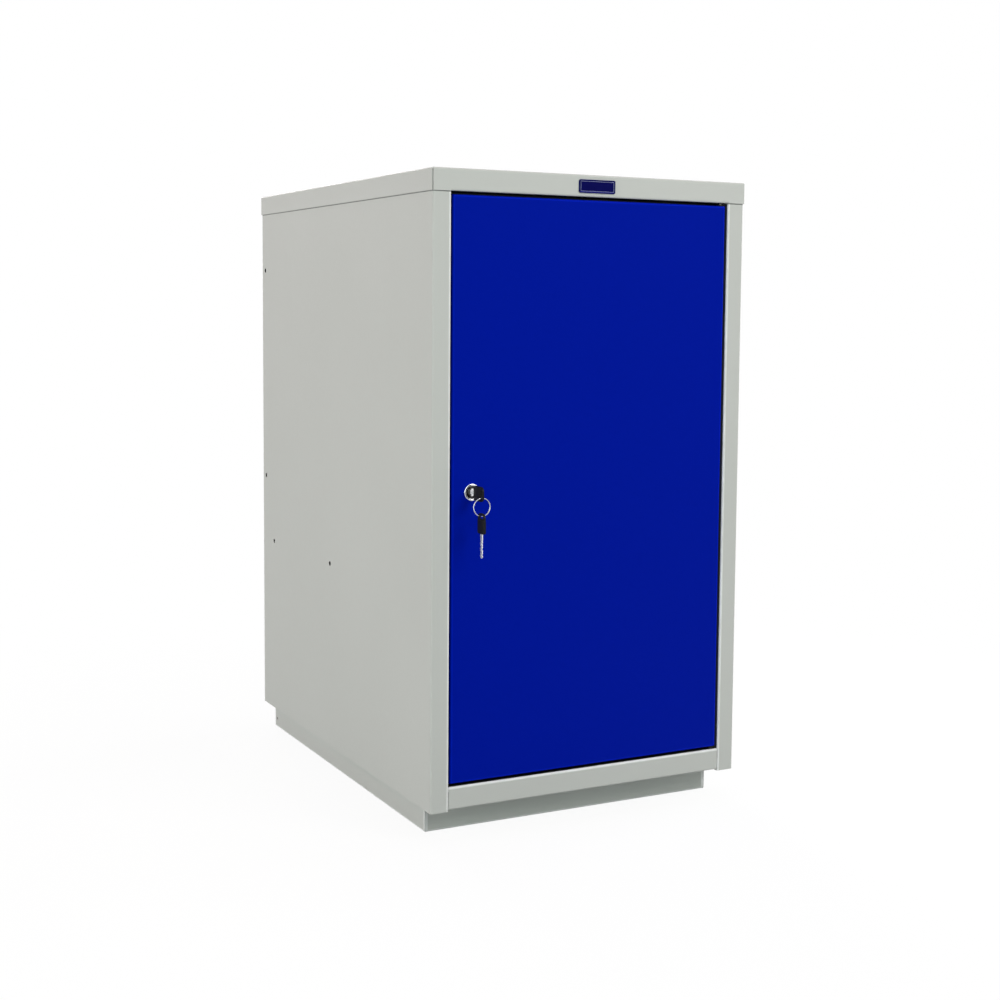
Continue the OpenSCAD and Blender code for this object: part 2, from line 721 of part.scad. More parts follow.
// The door: a folded pan with return lips behind its upright edges
module door_panel() color(door_colour) from_front() difference() {
    union() {
        translate([-door_half, door_back, door_low]) rotate([90, 0, 0])
            tray([2 * door_half, door_h, door_t], sheet_t);
        on_both_sides() translate([-door_half + sheet_t / 2, door_back - sheet_t, door_low + fold_out])
            cube([door_lip_w, sheet_t, door_h - 2 * fold_out]);
    }
    translate([lock_x, door_recess + sheet_t + 1, lock_z]) rotate([90, 0, 0])
        linear_extrude(sheet_t + 2) barrel_section(barrel_play);
    for (z = [door_low - 1, door_top - sheet_t - 1])
        translate([hinge_x, hinge_y, z]) cylinder(h = sheet_t + 2, r = pin_r + bush_wall + bush_play);
}

// Hat section behind the door's face
module door_stiffener() color(door_colour) from_front() translate([0, 0, door_low + stiffener_end])
    linear_extrude(door_h - 2 * stiffener_end) {
        low = door_recess + 1.5 * sheet_t;
        high = low + stiffener_d - sheet_t;
        side = stiffener_w / 2 - stiffener_foot;
        folded([
            [-stiffener_w / 2, low], [-side, low], [-side, high],
            [side, high], [side, low], [stiffener_w / 2, low]
        ], sheet_t);
    }

// Outline of the housing's barrel: a circle with two flats, grown by a gap
module barrel_section(gap) intersection() {
    circle(barrel_r + gap);
    square([2 * (flat_half + gap), 4 * barrel_r], center = true);
}

// Housing with a raised bezel round a sunk face
module lock_housing() color(chrome_colour) in_lock() difference() {
    rim_in = bezel_r - bezel_rim_w;
    union() {
        rotate_extrude() {
            square([bezel_r, plug_seat]);
            translate([rim_in, 0]) rounded_top(bezel_rim_w, bezel_h, rim_round);
        }
        translate([0, 0, -barrel_len]) linear_extrude(barrel_len + 0.1) barrel_section(0);
    }
    translate([0, 0, -barrel_len - 1]) cylinder(h = barrel_len + plug_seat + 2, r = plug_r + plug_play);
}

// Ring washer and hexagon nut that hold the housing from behind the door's face
module lock_washer() color(zinc_colour) in_lock() translate([0, 0, -sheet_t - lock_washer_t]) difference() {
    cylinder(h = lock_washer_t, r = bezel_r + lock_washer_over);
    translate([0, 0, -1]) cylinder(h = lock_washer_t + 2, r = barrel_r + barrel_play);
}

module lock_nut() color(zinc_colour) in_lock()
    translate([0, 0, -sheet_t - lock_washer_t - lock_nut_h]) difference() {
        cylinder(h = lock_nut_h, r = bezel_r + lock_nut_over, $fn = 6);
        translate([0, 0, -1]) cylinder(h = lock_nut_h + 2, r = barrel_r + screw_play);
    }

// Depth of a wafer's middle behind the door's face
function wafer_z(i) = -first_wafer - i * wafer_pitch;

// Plug: a head on the housing's face, a barrel with keyway and wafer slots, and a square for the cam
module lock_plug() color(chrome_colour) in_lock() difference() {
    union() {
        translate([0, 0, plug_seat + plug_play]) cylinder(h = plug_head_t, r = plug_r + plug_head_over);
        translate([0, 0, -barrel_len - plug_end])
            cylinder(h = barrel_len + plug_end + plug_seat + plug_head_t, r = plug_r);
        translate([-square_w / 2, -square_w / 2, -cam_back]) cube([square_w, square_w, cam_t + 1]);
    }
    translate([-blade_t / 2 - slide_play, -blade_w / 2 - slide_play, -keyway_depth])
        cube([blade_t + 2 * slide_play, blade_w + 2 * slide_play, keyway_depth + 5]);
    for (i = [0 : wafer_count - 1])
        translate([-wafer_w / 2 - screw_play, -plug_r - 1, wafer_z(i) - wafer_t / 2 - screw_play])
            cube([wafer_w + 2 * screw_play, 2 * plug_r + 2, wafer_t + 2 * screw_play]);
    translate([0, 0, -cam_back - 1]) cylinder(h = cam_screw_len + 1, r = cam_screw_r + screw_play);
}

// Wafers: plates across the plug with a window for the blade
module lock_wafers() color(zinc_colour) in_lock() for (i = [0 : wafer_count - 1])
    translate([0, 0, wafer_z(i) - wafer_t / 2]) linear_extrude(wafer_t) difference() {
        intersection() {
            circle(plug_r - slide_play);
            square([wafer_w, 3 * plug_r], center = true);
        }
        square([blade_t + 4 * slide_play, blade_w + 4 * slide_play], center = true);
    }

// Cam on the plug's square, hanging down when the lock is open
module lock_cam() color(zinc_colour) in_lock() translate([0, 0, -cam_back]) difference() {
    tip = cam_len - cam_w / 2;
    hole_w = square_w + 2 * screw_play;
    linear_extrude(cam_t) {
        circle(cam_w / 2);
        translate([-cam_w / 2, -tip]) square([cam_w, tip]);
        translate([0, -tip]) circle(cam_w / 2);
    }
    translate([-hole_w / 2, -hole_w / 2, -1]) cube([hole_w, hole_w, cam_t + 2]);
}

module cam_washer() color(zinc_colour) in_lock() translate([0, 0, -cam_back - cam_washer_t]) difference() {
    cylinder(h = cam_washer_t, r = cam_washer_r);
    translate([0, 0, -1]) cylinder(h = cam_washer_t + 2, r = cam_screw_r + slide_play);
}

module cam_screw() color(zinc_colour) in_lock() translate([0, 0, -cam_back - cam_washer_t]) difference() {
    union() {
        translate([0, 0, -cam_head_t]) cylinder(h = cam_head_t, r = cam_head_r);
        translate([0, 0, -0.1]) cylinder(h = cam_screw_len + 0.1, r = cam_screw_r);
    }
    translate([-driver_slot_w / 2, -cam_head_r - 1, -cam_head_t - 1])
        cube([driver_slot_w, 2 * cam_head_r + 2, driver_slot_d + 1]);
}

// How deep each cut goes into one edge of the blade; the other edge has the same cuts from the far end
function cut_depth(i, edge) = cut_depths[edge < 0 ? i : len(cut_depths) - 1 - i];

// Height of a cut on the blade
function cut_z(i) = first_cut + wafer_pitch * i - blade_len;

// A square bar turned on its corner, from which the blade's notches and its pointed tip are cut
module notch(y, z, half_diagonal) translate([0, y, z]) rotate([45, 0, 0])
    cube([blade_t + 1, half_diagonal * sqrt(2), half_diagonal * sqrt(2)], center = true);

// A key's blade, pointing down from Z = 0, with a tang that the head is moulded round
module blade_shape() difference() {
    union() {
        translate([-blade_t / 2, -blade_w / 2, -blade_len]) cube([blade_t, blade_w, blade_len]);
        translate([-blade_t / 2, -tang_w / 2, -0.1]) cube([blade_t, tang_w, tang_len + 0.1]);
    }
    for (edge = [-1, 1]) {
        for (i = [0 : len(cut_depths) - 1])
            notch(edge * (blade_w / 2 + cut_r - cut_depth(i, edge)), cut_z(i), cut_r);
        notch(edge * blade_w / 2, -blade_len, tip_cut);
    }
    for (face = [-1, 1])
        translate([face * blade_t / 2, face * groove_off, -blade_len / 2 - 1])
            cube([2 * groove_d, groove_w, blade_len], center = true);
}

// A key's moulded head from Z = 0 up: a thick grip, and a thinner end round the ring's hole
module head_shape() difference() {
    intersection() {
        rotate([90, 0, 90]) linear_extrude(head_t, center = true)
            rounded_sheet(head_w, head_len, head_round_low, head_round_high);
        union() {
            translate([0, 0, grip_len / 2]) cube([head_t + 1, head_w + 1, grip_len], center = true);
            translate([0, 0, head_len / 2]) cube([head_loop_t, head_w + 1, head_len + 1], center = true);
        }
    }
    rotate([90, 0, 90]) translate([0, hole_up]) linear_extrude(head_t + 1, center = true) {
        for (end = [-1, 1]) translate([end * (head_hole_half - head_hole_r), 0]) circle(head_hole_r);
        square([2 * (head_hole_half - head_hole_r), 2 * head_hole_r], center = true);
    }
    translate([-blade_t / 2, -tang_w / 2, -1]) cube([blade_t, tang_w, tang_len + 1]);
}

// Places the key that is in the lock, and the spare that hangs from the ring
module in_keyway() in_lock() translate([0, 0, key_standout]) children();

module on_ring() from_front() translate([lock_x, ring_y, spare_z]) children();

module key_blade() color(chrome_colour) in_keyway() blade_shape();

module key_head() color(black_colour) in_keyway() head_shape();

module spare_key_blade() color(chrome_colour) on_ring() blade_shape();

module spare_key_head() color(black_colour) on_ring() head_shape();

// Split ring of two turns, hanging through the upper key's head
module key_ring() color(chrome_colour) from_front()
    translate([lock_x, ring_y, lock_z - ring_drop]) rotate([90, 0, 0]) rotate_extrude($fn = 96)
        for (side = [-1, 1]) translate([ring_r, side * (wire_r - wire_overlap)]) circle(wire_r);

side_panel_left();
side_panel_right();
back_panel();
top_cap();
bottom_deck();
plinth_front_rail();
plinth_back_rail();
plinth_left_rail();
plinth_right_rail();
plinth_bolts();
plinth_nuts();
back_panel_screws();
hinge_plate_top();
hinge_plate_bottom();
hinge_pin_top();
hinge_pin_bottom();
hinge_washer();
shelf_upper();
shelf_lower();
shelf_clips_upper();
shelf_clips_lower();
door_buffers();
name_plate();
door_panel();
door_stiffener();
hinge_bush_top();
hinge_bush_bottom();
lock_housing();
lock_washer();
lock_nut();
lock_plug();
lock_wafers();
lock_cam();
cam_washer();
cam_screw();
key_blade();
key_head();
key_ring();
spare_key_blade();
spare_key_head();
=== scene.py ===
"""Finishes, small pieces and stage for a sheet-steel tool cabinet with one locking door.

The packed model is loaded first and stays where it is. Every piece that is made here is in metres and in
the same frame: X to the right, Y to the back, Z up from the floor.
"""

import json
import math

import bmesh
import bpy
from bpy.props import FloatProperty, FloatVectorProperty, IntProperty, PointerProperty
from bpy.types import Operator, Panel, PropertyGroup
from mathutils import Matrix, Vector


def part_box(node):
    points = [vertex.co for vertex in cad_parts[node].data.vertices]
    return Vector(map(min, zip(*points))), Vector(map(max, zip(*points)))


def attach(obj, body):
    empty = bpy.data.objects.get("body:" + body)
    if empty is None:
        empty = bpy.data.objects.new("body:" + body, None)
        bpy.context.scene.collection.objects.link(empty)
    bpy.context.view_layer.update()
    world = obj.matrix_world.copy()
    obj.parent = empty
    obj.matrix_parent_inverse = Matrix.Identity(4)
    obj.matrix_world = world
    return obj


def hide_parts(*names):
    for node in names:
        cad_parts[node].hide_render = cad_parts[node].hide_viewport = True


bl_info = {
    "name": "Tool Cabinet Finishes",
    "version": (1, 0, 0),
    "blender": (4, 5, 0),
    "location": "View3D > Sidebar > Cabinet",
    "description": "Paints the packed cabinet, adds its ring, plate, screws and welds, and sets the stage",
    "category": "Add Mesh",
}

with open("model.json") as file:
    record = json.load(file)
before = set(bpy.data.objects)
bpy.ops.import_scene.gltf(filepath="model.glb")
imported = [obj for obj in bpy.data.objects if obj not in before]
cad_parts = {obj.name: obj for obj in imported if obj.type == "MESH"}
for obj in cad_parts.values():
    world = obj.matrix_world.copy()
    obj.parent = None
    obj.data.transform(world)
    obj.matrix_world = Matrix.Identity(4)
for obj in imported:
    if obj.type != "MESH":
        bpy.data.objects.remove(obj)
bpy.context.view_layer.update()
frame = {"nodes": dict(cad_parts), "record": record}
MM = 0.001

# Which finish each node of the model takes, and each finish's colour
SLOT_OF = {part["node"]: part["material_slot"] for part in frame["record"]["subparts"]}
COLOUR_OF = {finish["slot"]: tuple(finish["base_color"]) for finish in frame["record"]["materials"]}

# Thickness of the body's sheet, the gaps beside the door and between the bottom rail and a stile, half the width
# of the door's opening, the depth of the stiles' face, and a length that is past every piece
SHEET = 1.0 * MM
DOOR_GAP = 2.75 * MM
RAIL_GAP = 0.8 * MM
OPENING_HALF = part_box("door_panel")[1].x + DOOR_GAP
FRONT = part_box("side_panel_left")[0].y
FAR = 10.0


def distance(name, about, default):
    """A length that the user can change."""
    return FloatProperty(name=name, description=about, default=default, unit="LENGTH", precision=5)


def span(name, about, default):
    """Two lengths that the user can change."""
    return FloatVectorProperty(name=name, description=about, default=default, size=2, unit="LENGTH", precision=5)


def rotation(name, about, default):
    """An angle in degrees that the user can change."""
    return FloatProperty(name=name, description=about, default=math.radians(default), unit="ROTATION")


def share(name, about, default):
    """A share from 0 to 1 that the user can change."""
    return FloatProperty(name=name, description=about, default=default, min=0, max=1, subtype="FACTOR")


def colour(name, about, default):
    """A colour that the user can change."""
    return FloatVectorProperty(name=name, description=about, default=default, subtype="COLOR", min=0, max=1)


class PaintSettings(PropertyGroup):
    """Powder coat on the body and the door."""

    body: colour("Body", "Colour of the body's powder coat", COLOUR_OF["body_paint"])
    door: colour("Door", "Colour of the door's powder coat", COLOUR_OF["door_paint"])
    peel_size: distance("Peel size", "Width of one bump of the coat's orange peel", 1.4 * MM)
    peel_depth: distance("Peel depth", "Height of the orange peel", 0.012 * MM)
    # The paler line on a fold is a painted highlight, standing for the light on the bend.
    fold_width: distance("Fold width", "Width of the paler line where the coat is thin on a fold", 3.2 * MM)
    fold_share: share("Fold share", "How much paler the coat is on a fold", 0.62)
    body_roughness: share("Body roughness", "Roughness of the body's coat", 0.5)
    door_roughness: share("Door roughness", "Roughness of the door's coat", 0.46)


class ShadeSettings(PropertyGroup):
    """Painted shade: a black reveal behind the door's edges, dark holes, and darker corners under an overlap."""

    # The dark colour is painted shade: it fills the reveals behind the door's gaps and the holes' walls.
    dark: colour("Dark", "Colour of the reveal and of the holes' walls", (0.004, 0.004, 0.004))
    stile: span("Stile reveal", "Start and end of the reveal on the side panels", (1.8 * MM, 9 * MM))
    lip: span("Lip reveal", "The same on the cap's lip", (0.4 * MM, 24 * MM))
    deck: span("Deck reveal", "The same on the deck", (2 * MM, 14 * MM))
    lip_height: distance("Lip height", "Height of the cap's lip below its skirt", 14 * MM)
    soft: distance("Softness", "Width over which a reveal fades in", 0.4 * MM)
    # The seam share paints shadow: it darkens the coat under the cap's skirt and at the top of the plinth's sides.
    seam: share("Seam", "Share of the coat's tone that is left in a corner under an overlap", 0.4)
    skirt: distance("Skirt corner", "Height of the corner under the cap's skirt", 1.6 * MM)
    plinth: distance("Plinth corner", "Height of the corner at the top of the plinth's sides", 3 * MM)
    # The dark rim round a hole is painted shade.
    hole_rim: distance("Hole rim", "Width of the dark rim round a hole in the side", 0.6 * MM)


class SeamSettings(PropertyGroup):
    """Bead of paint between the bottom rail and the left stile."""

    sink: distance("Sink", "Depth of the bead's borders behind the stile", 0.12 * MM)
    hollow: distance("Hollow", "Depth of the bead's middle behind its borders", 0.2 * MM)
    deep: distance("Depth", "Depth of the bead's back behind the stile", 0.7 * MM)
    bite: distance("Bite", "How far the bead reaches into the sheet on both sides", 0.04 * MM)


class MetalSettings(PropertyGroup):
    """Chrome, the lock's dark face and greased zinc."""

    chrome: colour("Chrome", "Colour of the chrome plating", COLOUR_OF["chrome"])
    greased: colour("Greased zinc", "Colour of the hinge's pins and washer under grease", (0.07, 0.068, 0.06))
    ring_share: share("Ring", "Share of the chrome's tone that the key ring has", 0.62)
    face: colour("Lock face", "Colour of the dark enamel inside the bezel's rim", (0.006, 0.006, 0.007))
    face_outer: distance("Face radius", "Radius of the dark enamel", 7.8 * MM)
    face_sink: distance("Face sink", "Depth of the dark enamel behind the bezel's rim", 0.6 * MM)


class PlasticSettings(PropertyGroup):
    """Moulded plastic and rubber."""

    black_plastic: colour("Key head", "Colour of the keys' heads", COLOUR_OF["black_plastic"])
    plate_plastic: colour("Name plate", "Colour of the blank name plate", COLOUR_OF["plate_plastic"])
    rubber: colour("Rubber", "Colour of the door buffers", COLOUR_OF["rubber"])
    head_edge: distance("Head edge", "Rounding of the key heads' moulded edges", 0.45 * MM)


class PlateSettings(PropertyGroup):
    """Blank name plate on the cap."""

    corner: distance("Corner", "Radius of the plate's corners", 2.0 * MM)
    rim: distance("Rim", "Width of the plate's raised rim", 1.0 * MM)
    sink: distance("Sink", "Depth of the field behind the rim", 0.45 * MM)
    crown: distance("Crown", "Height of the field's middle over its border", 0.25 * MM)
    edge: distance("Edge", "Rounding of the rim's edges", 0.3 * MM)
    silver: colour("Silver", "Colour of the line round the field", (0.2, 0.22, 0.33))
    line: distance("Line", "Width of the silver line round the field", 0.4 * MM)
    line_in: distance("Line inset", "Distance of the line from the plate's edge", 2.0 * MM)


class RingSettings(PropertyGroup):
    """Split ring that carries the keys."""

    wire_width: distance("Wire width", "Width of the wire across the ring", 0.9 * MM)
    wire_depth: distance("Wire depth", "Depth of one turn along the ring's axis", 0.84 * MM)
    wire_edge: distance("Wire edge", "Rounding of the wire's edges", 0.27 * MM)
    step: rotation("Step", "Turn over which the wire passes from one side to the other", 26)
    turned: rotation("Turned", "Turn of the whole ring about its axis", 200)
    points: IntProperty(name="Points", description="Points along the wire", default=220, min=24)


class WeldSettings(PropertyGroup):
    """Spot welds of the door's stiffener."""

    radius: distance("Radius", "Radius of a weld's mark", 3.2 * MM)
    height: distance("Height", "Height of its rim over the sheet", 0.16 * MM)
    count: IntProperty(name="Count", description="Welds along each foot of the stiffener", default=9, min=2)
    inset: distance("Inset", "Distance of the first and last weld from the stiffener's ends", 20 * MM)
    foot: distance("Foot", "Width of the stiffener's feet", 15 * MM)


class ScrewSettings(PropertyGroup):
    """Pan-head screws of the back panel."""

    head_radius: distance("Head radius", "Radius of the head", 3.99 * MM)
    head_height: distance("Head height", "Height of the head", 2.2 * MM)
    shank_radius: distance("Shank radius", "Radius of the shank", 2.1 * MM)
    recess_width: distance("Recess width", "Width of one arm of the cross recess", 0.9 * MM)
    recess_length: distance("Recess length", "Length of the cross recess", 4.4 * MM)
    recess_depth: distance("Recess depth", "Depth of the cross recess", 1.3 * MM)
    count: IntProperty(name="Count", description="Screws on each side", default=5, min=2)


class StageSettings(PropertyGroup):
    """Camera, floor and light."""

    place: FloatVectorProperty(
        name="Camera place", description="Where the camera stands", default=(-0.97065, FRONT - 1.65371, 0.631095),
        subtype="TRANSLATION", unit="LENGTH",
    )
    turn: FloatVectorProperty(
        name="Camera turn", description="Yaw, pitch and roll of the camera",
        default=tuple(math.radians(angle) for angle in (-27.59133, -4.89422, 0.489103)), unit="ROTATION",
    )
    lens: FloatProperty(name="Lens", description="Focal length on a 36 mm sensor", default=56.9935, unit="CAMERA")
    shift: FloatVectorProperty(
        name="Shift", description="Shift of the picture's middle", default=(-0.015494, -0.056566), size=2,
        precision=6,
    )
    sky: share("Sky", "Strength of the even light from all round", 0.15)
    floor_tone: share("Floor tone", "Tone of the floor", 0.9)
    floor_bounce: share("Floor bounce", "Tone of the floor as it lights the cabinet", 0.42)
    floor_white: share("Floor white", "How far the floor by the cabinet is lifted to the backdrop's white", 0.93)
    white_from: distance("White from", "Distance at which the floor starts to turn to the backdrop's white", 0.45)
    white_to: distance("White to", "Distance from which it is as white as the backdrop", 1.3)
    floor_radius: distance("Floor radius", "Radius of the floor", 40)
    lamp_size: distance("Lamp size", "Side of each square softbox", 1.8)
    target: FloatVectorProperty(
        name="Target", description="Point that the softboxes face", default=(0, 0, 0.4), subtype="TRANSLATION",
        unit="LENGTH",
    )


SETTINGS = {
    "cabinet_paint": PaintSettings,
    "cabinet_shade": ShadeSettings,
    "cabinet_seam": SeamSettings,
    "cabinet_metal": MetalSettings,
    "cabinet_plastic": PlasticSettings,
    "cabinet_plate": PlateSettings,
    "cabinet_ring": RingSettings,
    "cabinet_welds": WeldSettings,
    "cabinet_screws": ScrewSettings,
    "cabinet_stage": StageSettings,
}

# Softboxes: place, watts and colour
LAMPS = {
    "front_softbox": ((1.3, -2.8, 2.6), 74, (1, 0.98, 0.97)),
    "low_front_softbox": ((-0.5, -3.1, 0.9), 23.5, (0.84, 1, 0.95)),
    "left_softbox": ((-2.9, 0.2, 2.6), 16, (1, 0.3, 0.42)),
    "low_left_softbox": ((-3.1, -0.1, 0.9), 52, (0.87, 1, 0.96)),
    "right_softbox": ((3.1, 0.3, 1.5), 72, (1, 1, 1)),
    "back_softbox": ((0.4, 3.3, 1.5), 80, (1, 1, 1)),
    "top_softbox": ((0, 0, 3.4), 12, (1, 1, 1)),
}

# Coats: drift of tone, gloss and its tint
COATS = {
    "body_paint": (0.02, 0.3, (1, 1, 1)),
    "door_paint": (0.0, 0.12, (0.02, 0.1, 1)),
}

# Metals: tarnish, grain along X, Y and Z, roughness, share of tarnish and share of scratches. Dry zinc, brass and
# the blades' steel aren't here: they keep the packed model's own material.
METALS = {
    "greased_zinc": ((0.02, 0.02, 0.018), (300, 300, 300), 0.4, 0.6, 0.2),
    "chrome": ((0.45, 0.47, 0.52), (250, 250, 250), 0.12, 0.3, 0.25),
    "plate_line": ((0.12, 0.13, 0.24), (400, 400, 400), 0.35, 0.4, 0.2),
}
GREASED = ("hinge_pin_top", "hinge_pin_bottom", "hinge_washer")

# Plastics: rubbed tone, width and height of the grain, roughness, share of rubbed patches, gloss and its tint
PLASTICS = {
    "black_plastic": ((0.012, 0.012, 0.013), 0.35 * MM, 0.006 * MM, 0.42, 0.4, 0.08, (1, 1, 1)),
    "rubber": ((0.06, 0.06, 0.058), 0.5 * MM, 0.02 * MM, 0.75, 0.4, 0.5, (1, 1, 1)),
    "plate_plastic": ((0.004, 0.005, 0.08), 0.6 * MM, 0.004 * MM, 0.22, 0.25, 0.3, (0.04, 0.05, 1)),
}


# Node trees

def add(tree, kind, inputs=None, **settings):
    """A node of this kind, with its settings, and each input set to a value or linked to a socket."""
    made = tree.nodes.new(kind)
    for name, value in settings.items():
        setattr(made, name, value)
    for key, value in (inputs or {}).items():
        if isinstance(value, bpy.types.NodeSocket):
            tree.links.new(value, made.inputs[key])
        else:
            made.inputs[key].default_value = value
    return made


def maths(tree, operation, *values):
    """Result of a sum on one, two or three values or sockets."""
    return add(tree, "ShaderNodeMath", dict(enumerate(values)), operation=operation).outputs[0]


def times(tree, first, second):
    """Product of two values or sockets."""
    return maths(tree, "MULTIPLY", first, second)


def vector_maths(tree, operation, *values):
    """Result of a sum on vectors."""
    return add(tree, "ShaderNodeVectorMath", dict(enumerate(values)), operation=operation).outputs[0]


def length_of(tree, vector):
    """Length of a vector."""
    return add(tree, "ShaderNodeVectorMath", {0: vector}, operation="LENGTH").outputs["Value"]


def parted(tree, vector):
    """X, Y and Z of a vector."""
    return add(tree, "ShaderNodeSeparateXYZ", {0: vector}).outputs


def vector_of(tree, *values):
    """A vector from its X, Y and Z."""
    return add(tree, "ShaderNodeCombineXYZ", dict(enumerate(values))).outputs[0]


def distance_from(tree, place, centre, axes):
    """Distance of a place from a centre, measured along the axes that are 1."""
    return length_of(tree, vector_maths(tree, "MULTIPLY", vector_maths(tree, "SUBTRACT", place, centre), axes))


def ramp(tree, value, low, high, start=0.0, end=1.0, smooth=True):
    """The value taken from low..high to start..end, and held at both ends."""
    kind = "SMOOTHSTEP" if smooth else "LINEAR"
    names = {"Value": value, "From Min": low, "From Max": high, "To Min": start, "To Max": end}
    return add(tree, "ShaderNodeMapRange", names, interpolation_type=kind).outputs["Result"]


def noise(tree, vector, scale, detail=2.0, roughness=0.5):
    """Noise from 0 to 1, about 0.5."""
    names = {"Vector": vector, "Scale": scale, "Detail": detail, "Roughness": roughness}
    return add(tree, "ShaderNodeTexNoise", names).outputs["Fac"]


def mixed(tree, part, *tones):
    """A colour between two, by a share."""
    first, second = ((*tone, 1) if isinstance(tone, tuple) else tone for tone in tones)
    return add(tree, "ShaderNodeMix", {0: part, 6: first, 7: second}, data_type="RGBA").outputs[2]


def group(name, kind, inputs, outputs):
    """An empty node group with sockets given as (name, form, default if any), and its input and output nodes."""
    tree = bpy.data.node_groups.new(name, kind)
    for socket, form, *default in inputs:
        made = tree.interface.new_socket(socket, in_out="INPUT", socket_type="NodeSocket" + form)
        if default:
            made.default_value = default[0]
    for socket, form in outputs:
        tree.interface.new_socket(socket, in_out="OUTPUT", socket_type="NodeSocket" + form)
    return tree, tree.nodes.new("NodeGroupInput").outputs, tree.nodes.new("NodeGroupOutput").inputs


def numbers(*names):
    """Sockets for plain numbers."""
    return [(name, "Float") for name in names]


def give(tree, out, **sockets):
    """The tree, with each named output linked to a socket."""
    for name, socket in sockets.items():
        tree.links.new(socket, out[name])
    return tree


def emptied(made):
    """The empty node tree of a new material or world."""
    made.use_nodes = True
    made.node_tree.nodes.clear()
    return made.node_tree


def once(builder):
    """The group that the builder makes, kept after the first call."""
    kept = []

    def get():
        if not kept:
            kept.append(builder())
        return kept[0]

    return get


BOX_INPUTS = [("Vector", "Vector"), ("Low", "Vector"), ("High", "Vector")]
SKIN_OUTPUTS = [("Color", "Color"), ("Roughness", "Float"), ("Height", "Float")]


@once
def fold_line():
    """Mask of the painted fold highlight: the lines within a width of a box's edges, and within a reach to both
    sides of the middle.

    The mask is full over the first part of the width and falls off over the rest.
    """
    tree, given, out = group(
        "fold_line", "ShaderNodeTree",
        [*BOX_INPUTS, ("Reach", "Float", FAR), ("Width", "Float", 0.002)],
        [("Mask", "Float")],
    )
    below = vector_maths(tree, "ABSOLUTE", vector_maths(tree, "SUBTRACT", given["Vector"], given["Low"]))
    above = vector_maths(tree, "ABSOLUTE", vector_maths(tree, "SUBTRACT", given["High"], given["Vector"]))
    full = times(tree, given["Width"], 0.6)
    parts = parted(tree, vector_maths(tree, "MINIMUM", below, above))
    near = [ramp(tree, part, full, given["Width"], 1.0, 0.0) for part in parts]
    pairs = [times(tree, near[i], near[(i + 1) % 3]) for i in range(3)]
    mask = maths(tree, "MAXIMUM", pairs[0], maths(tree, "MAXIMUM", pairs[1], pairs[2]))
    aside = maths(tree, "ABSOLUTE", parted(tree, given["Vector"])["X"])
    within = maths(tree, "LESS_THAN", aside, given["Reach"])
    return give(tree, out, Mask=times(tree, mask, within))


@once
def inside_box():
    """Mask of what lies inside a box, softened inwards from its faces."""
    tree, given, out = group(
        "inside_box", "ShaderNodeTree",
        [*BOX_INPUTS, ("Soft", "Float", 0.0003)], [("Mask", "Float")],
    )
    below = vector_maths(tree, "SUBTRACT", given["Vector"], given["Low"])
    above = vector_maths(tree, "SUBTRACT", given["High"], given["Vector"])
    parts = parted(tree, vector_maths(tree, "MINIMUM", below, above))
    depth = maths(tree, "MINIMUM", parts[0], maths(tree, "MINIMUM", parts[1], parts[2]))
    return give(tree, out, Mask=ramp(tree, depth, 0.0, given["Soft"]))


@once
def powder_coat():
    """Colour, roughness and height of powder coat: orange peel, a faint drift of tone, and a highlight painted as
    a paler line on folds.
    """
    tree, given, out = group(
        "powder_coat", "ShaderNodeTree",
        [
            *BOX_INPUTS, ("Coat", "Color"), ("Pale", "Color"), ("Reach", "Float", FAR),
            ("Fold Width", "Float", 0.002), ("Fold Share", "Float", 0.15), ("Drift", "Float", 0.03),
            ("Peel Size", "Float", 0.0014), ("Base Roughness", "Float", 0.5),
        ],
        SKIN_OUTPUTS,
    )
    where = given["Vector"]
    names = {key: given[key] for key in ("Vector", "Low", "High", "Reach")} | {"Width": given["Fold Width"]}
    line = add(tree, "ShaderNodeGroup", names, node_tree=fold_line())
    drift = times(tree, ramp(tree, noise(tree, where, 4.0, 3.0), 0.35, 0.65), given["Drift"])
    # Painted highlight: the coat turns paler along the folds, as if lit on the bends.
    painted_highlight = times(tree, line.outputs[0], given["Fold Share"])
    uneven = ramp(tree, noise(tree, where, 60.0, 2.0), 0.3, 0.7, 0.7, 1.0)
    pale = maths(tree, "ADD", times(tree, painted_highlight, uneven), drift)
    speckle = ramp(tree, noise(tree, where, 300.0, 1.0), 0.3, 0.7, -0.03, 0.03)
    return give(
        tree, out, Color=mixed(tree, pale, given["Coat"], given["Pale"]),
        Roughness=maths(tree, "ADD", given["Base Roughness"], speckle),
        Height=noise(tree, where, maths(tree, "DIVIDE", 1.0, given["Peel Size"]), 1.5),
    )


@once
def metal_grain():
    """Colour, roughness and height of plated or rolled metal, with stretched grain and fine scratches."""
    tree, given, out = group(
        "metal_grain", "ShaderNodeTree",
        [
            ("Vector", "Vector"), ("Grain", "Vector", (900.0, 900.0, 60.0)), ("Plating", "Color"),
            ("Tarnish", "Color"), ("Spread", "Float", 0.2), ("Base Roughness", "Float", 0.25),
            ("Scratches", "Float", 0.3),
        ],
        SKIN_OUTPUTS,
    )
    grain = noise(tree, vector_maths(tree, "MULTIPLY", given["Vector"], given["Grain"]), 1.0, 2.0)
    cloud = noise(tree, given["Vector"], 180.0, 3.0)
    cast = times(tree, ramp(tree, cloud, 0.35, 0.7), given["Spread"])
    slanted = add(tree, "ShaderNodeMapping", {"Vector": given["Vector"], "Rotation": (0.4, 0.9, 0.6)}).outputs[0]
    fine = noise(tree, vector_maths(tree, "MULTIPLY", slanted, (2600.0, 140.0, 140.0)), 1.0, 1.0)
    scratch = times(tree, ramp(tree, fine, 0.64, 0.7), given["Scratches"])
    dull = maths(tree, "ADD", ramp(tree, grain, 0.3, 0.7, -0.06, 0.06), times(tree, scratch, 0.3))
    return give(
        tree, out, Color=mixed(tree, cast, given["Plating"], given["Tarnish"]),
        Roughness=maths(tree, "ADD", given["Base Roughness"], dull),
        Height=maths(tree, "SUBTRACT", grain, scratch),
    )


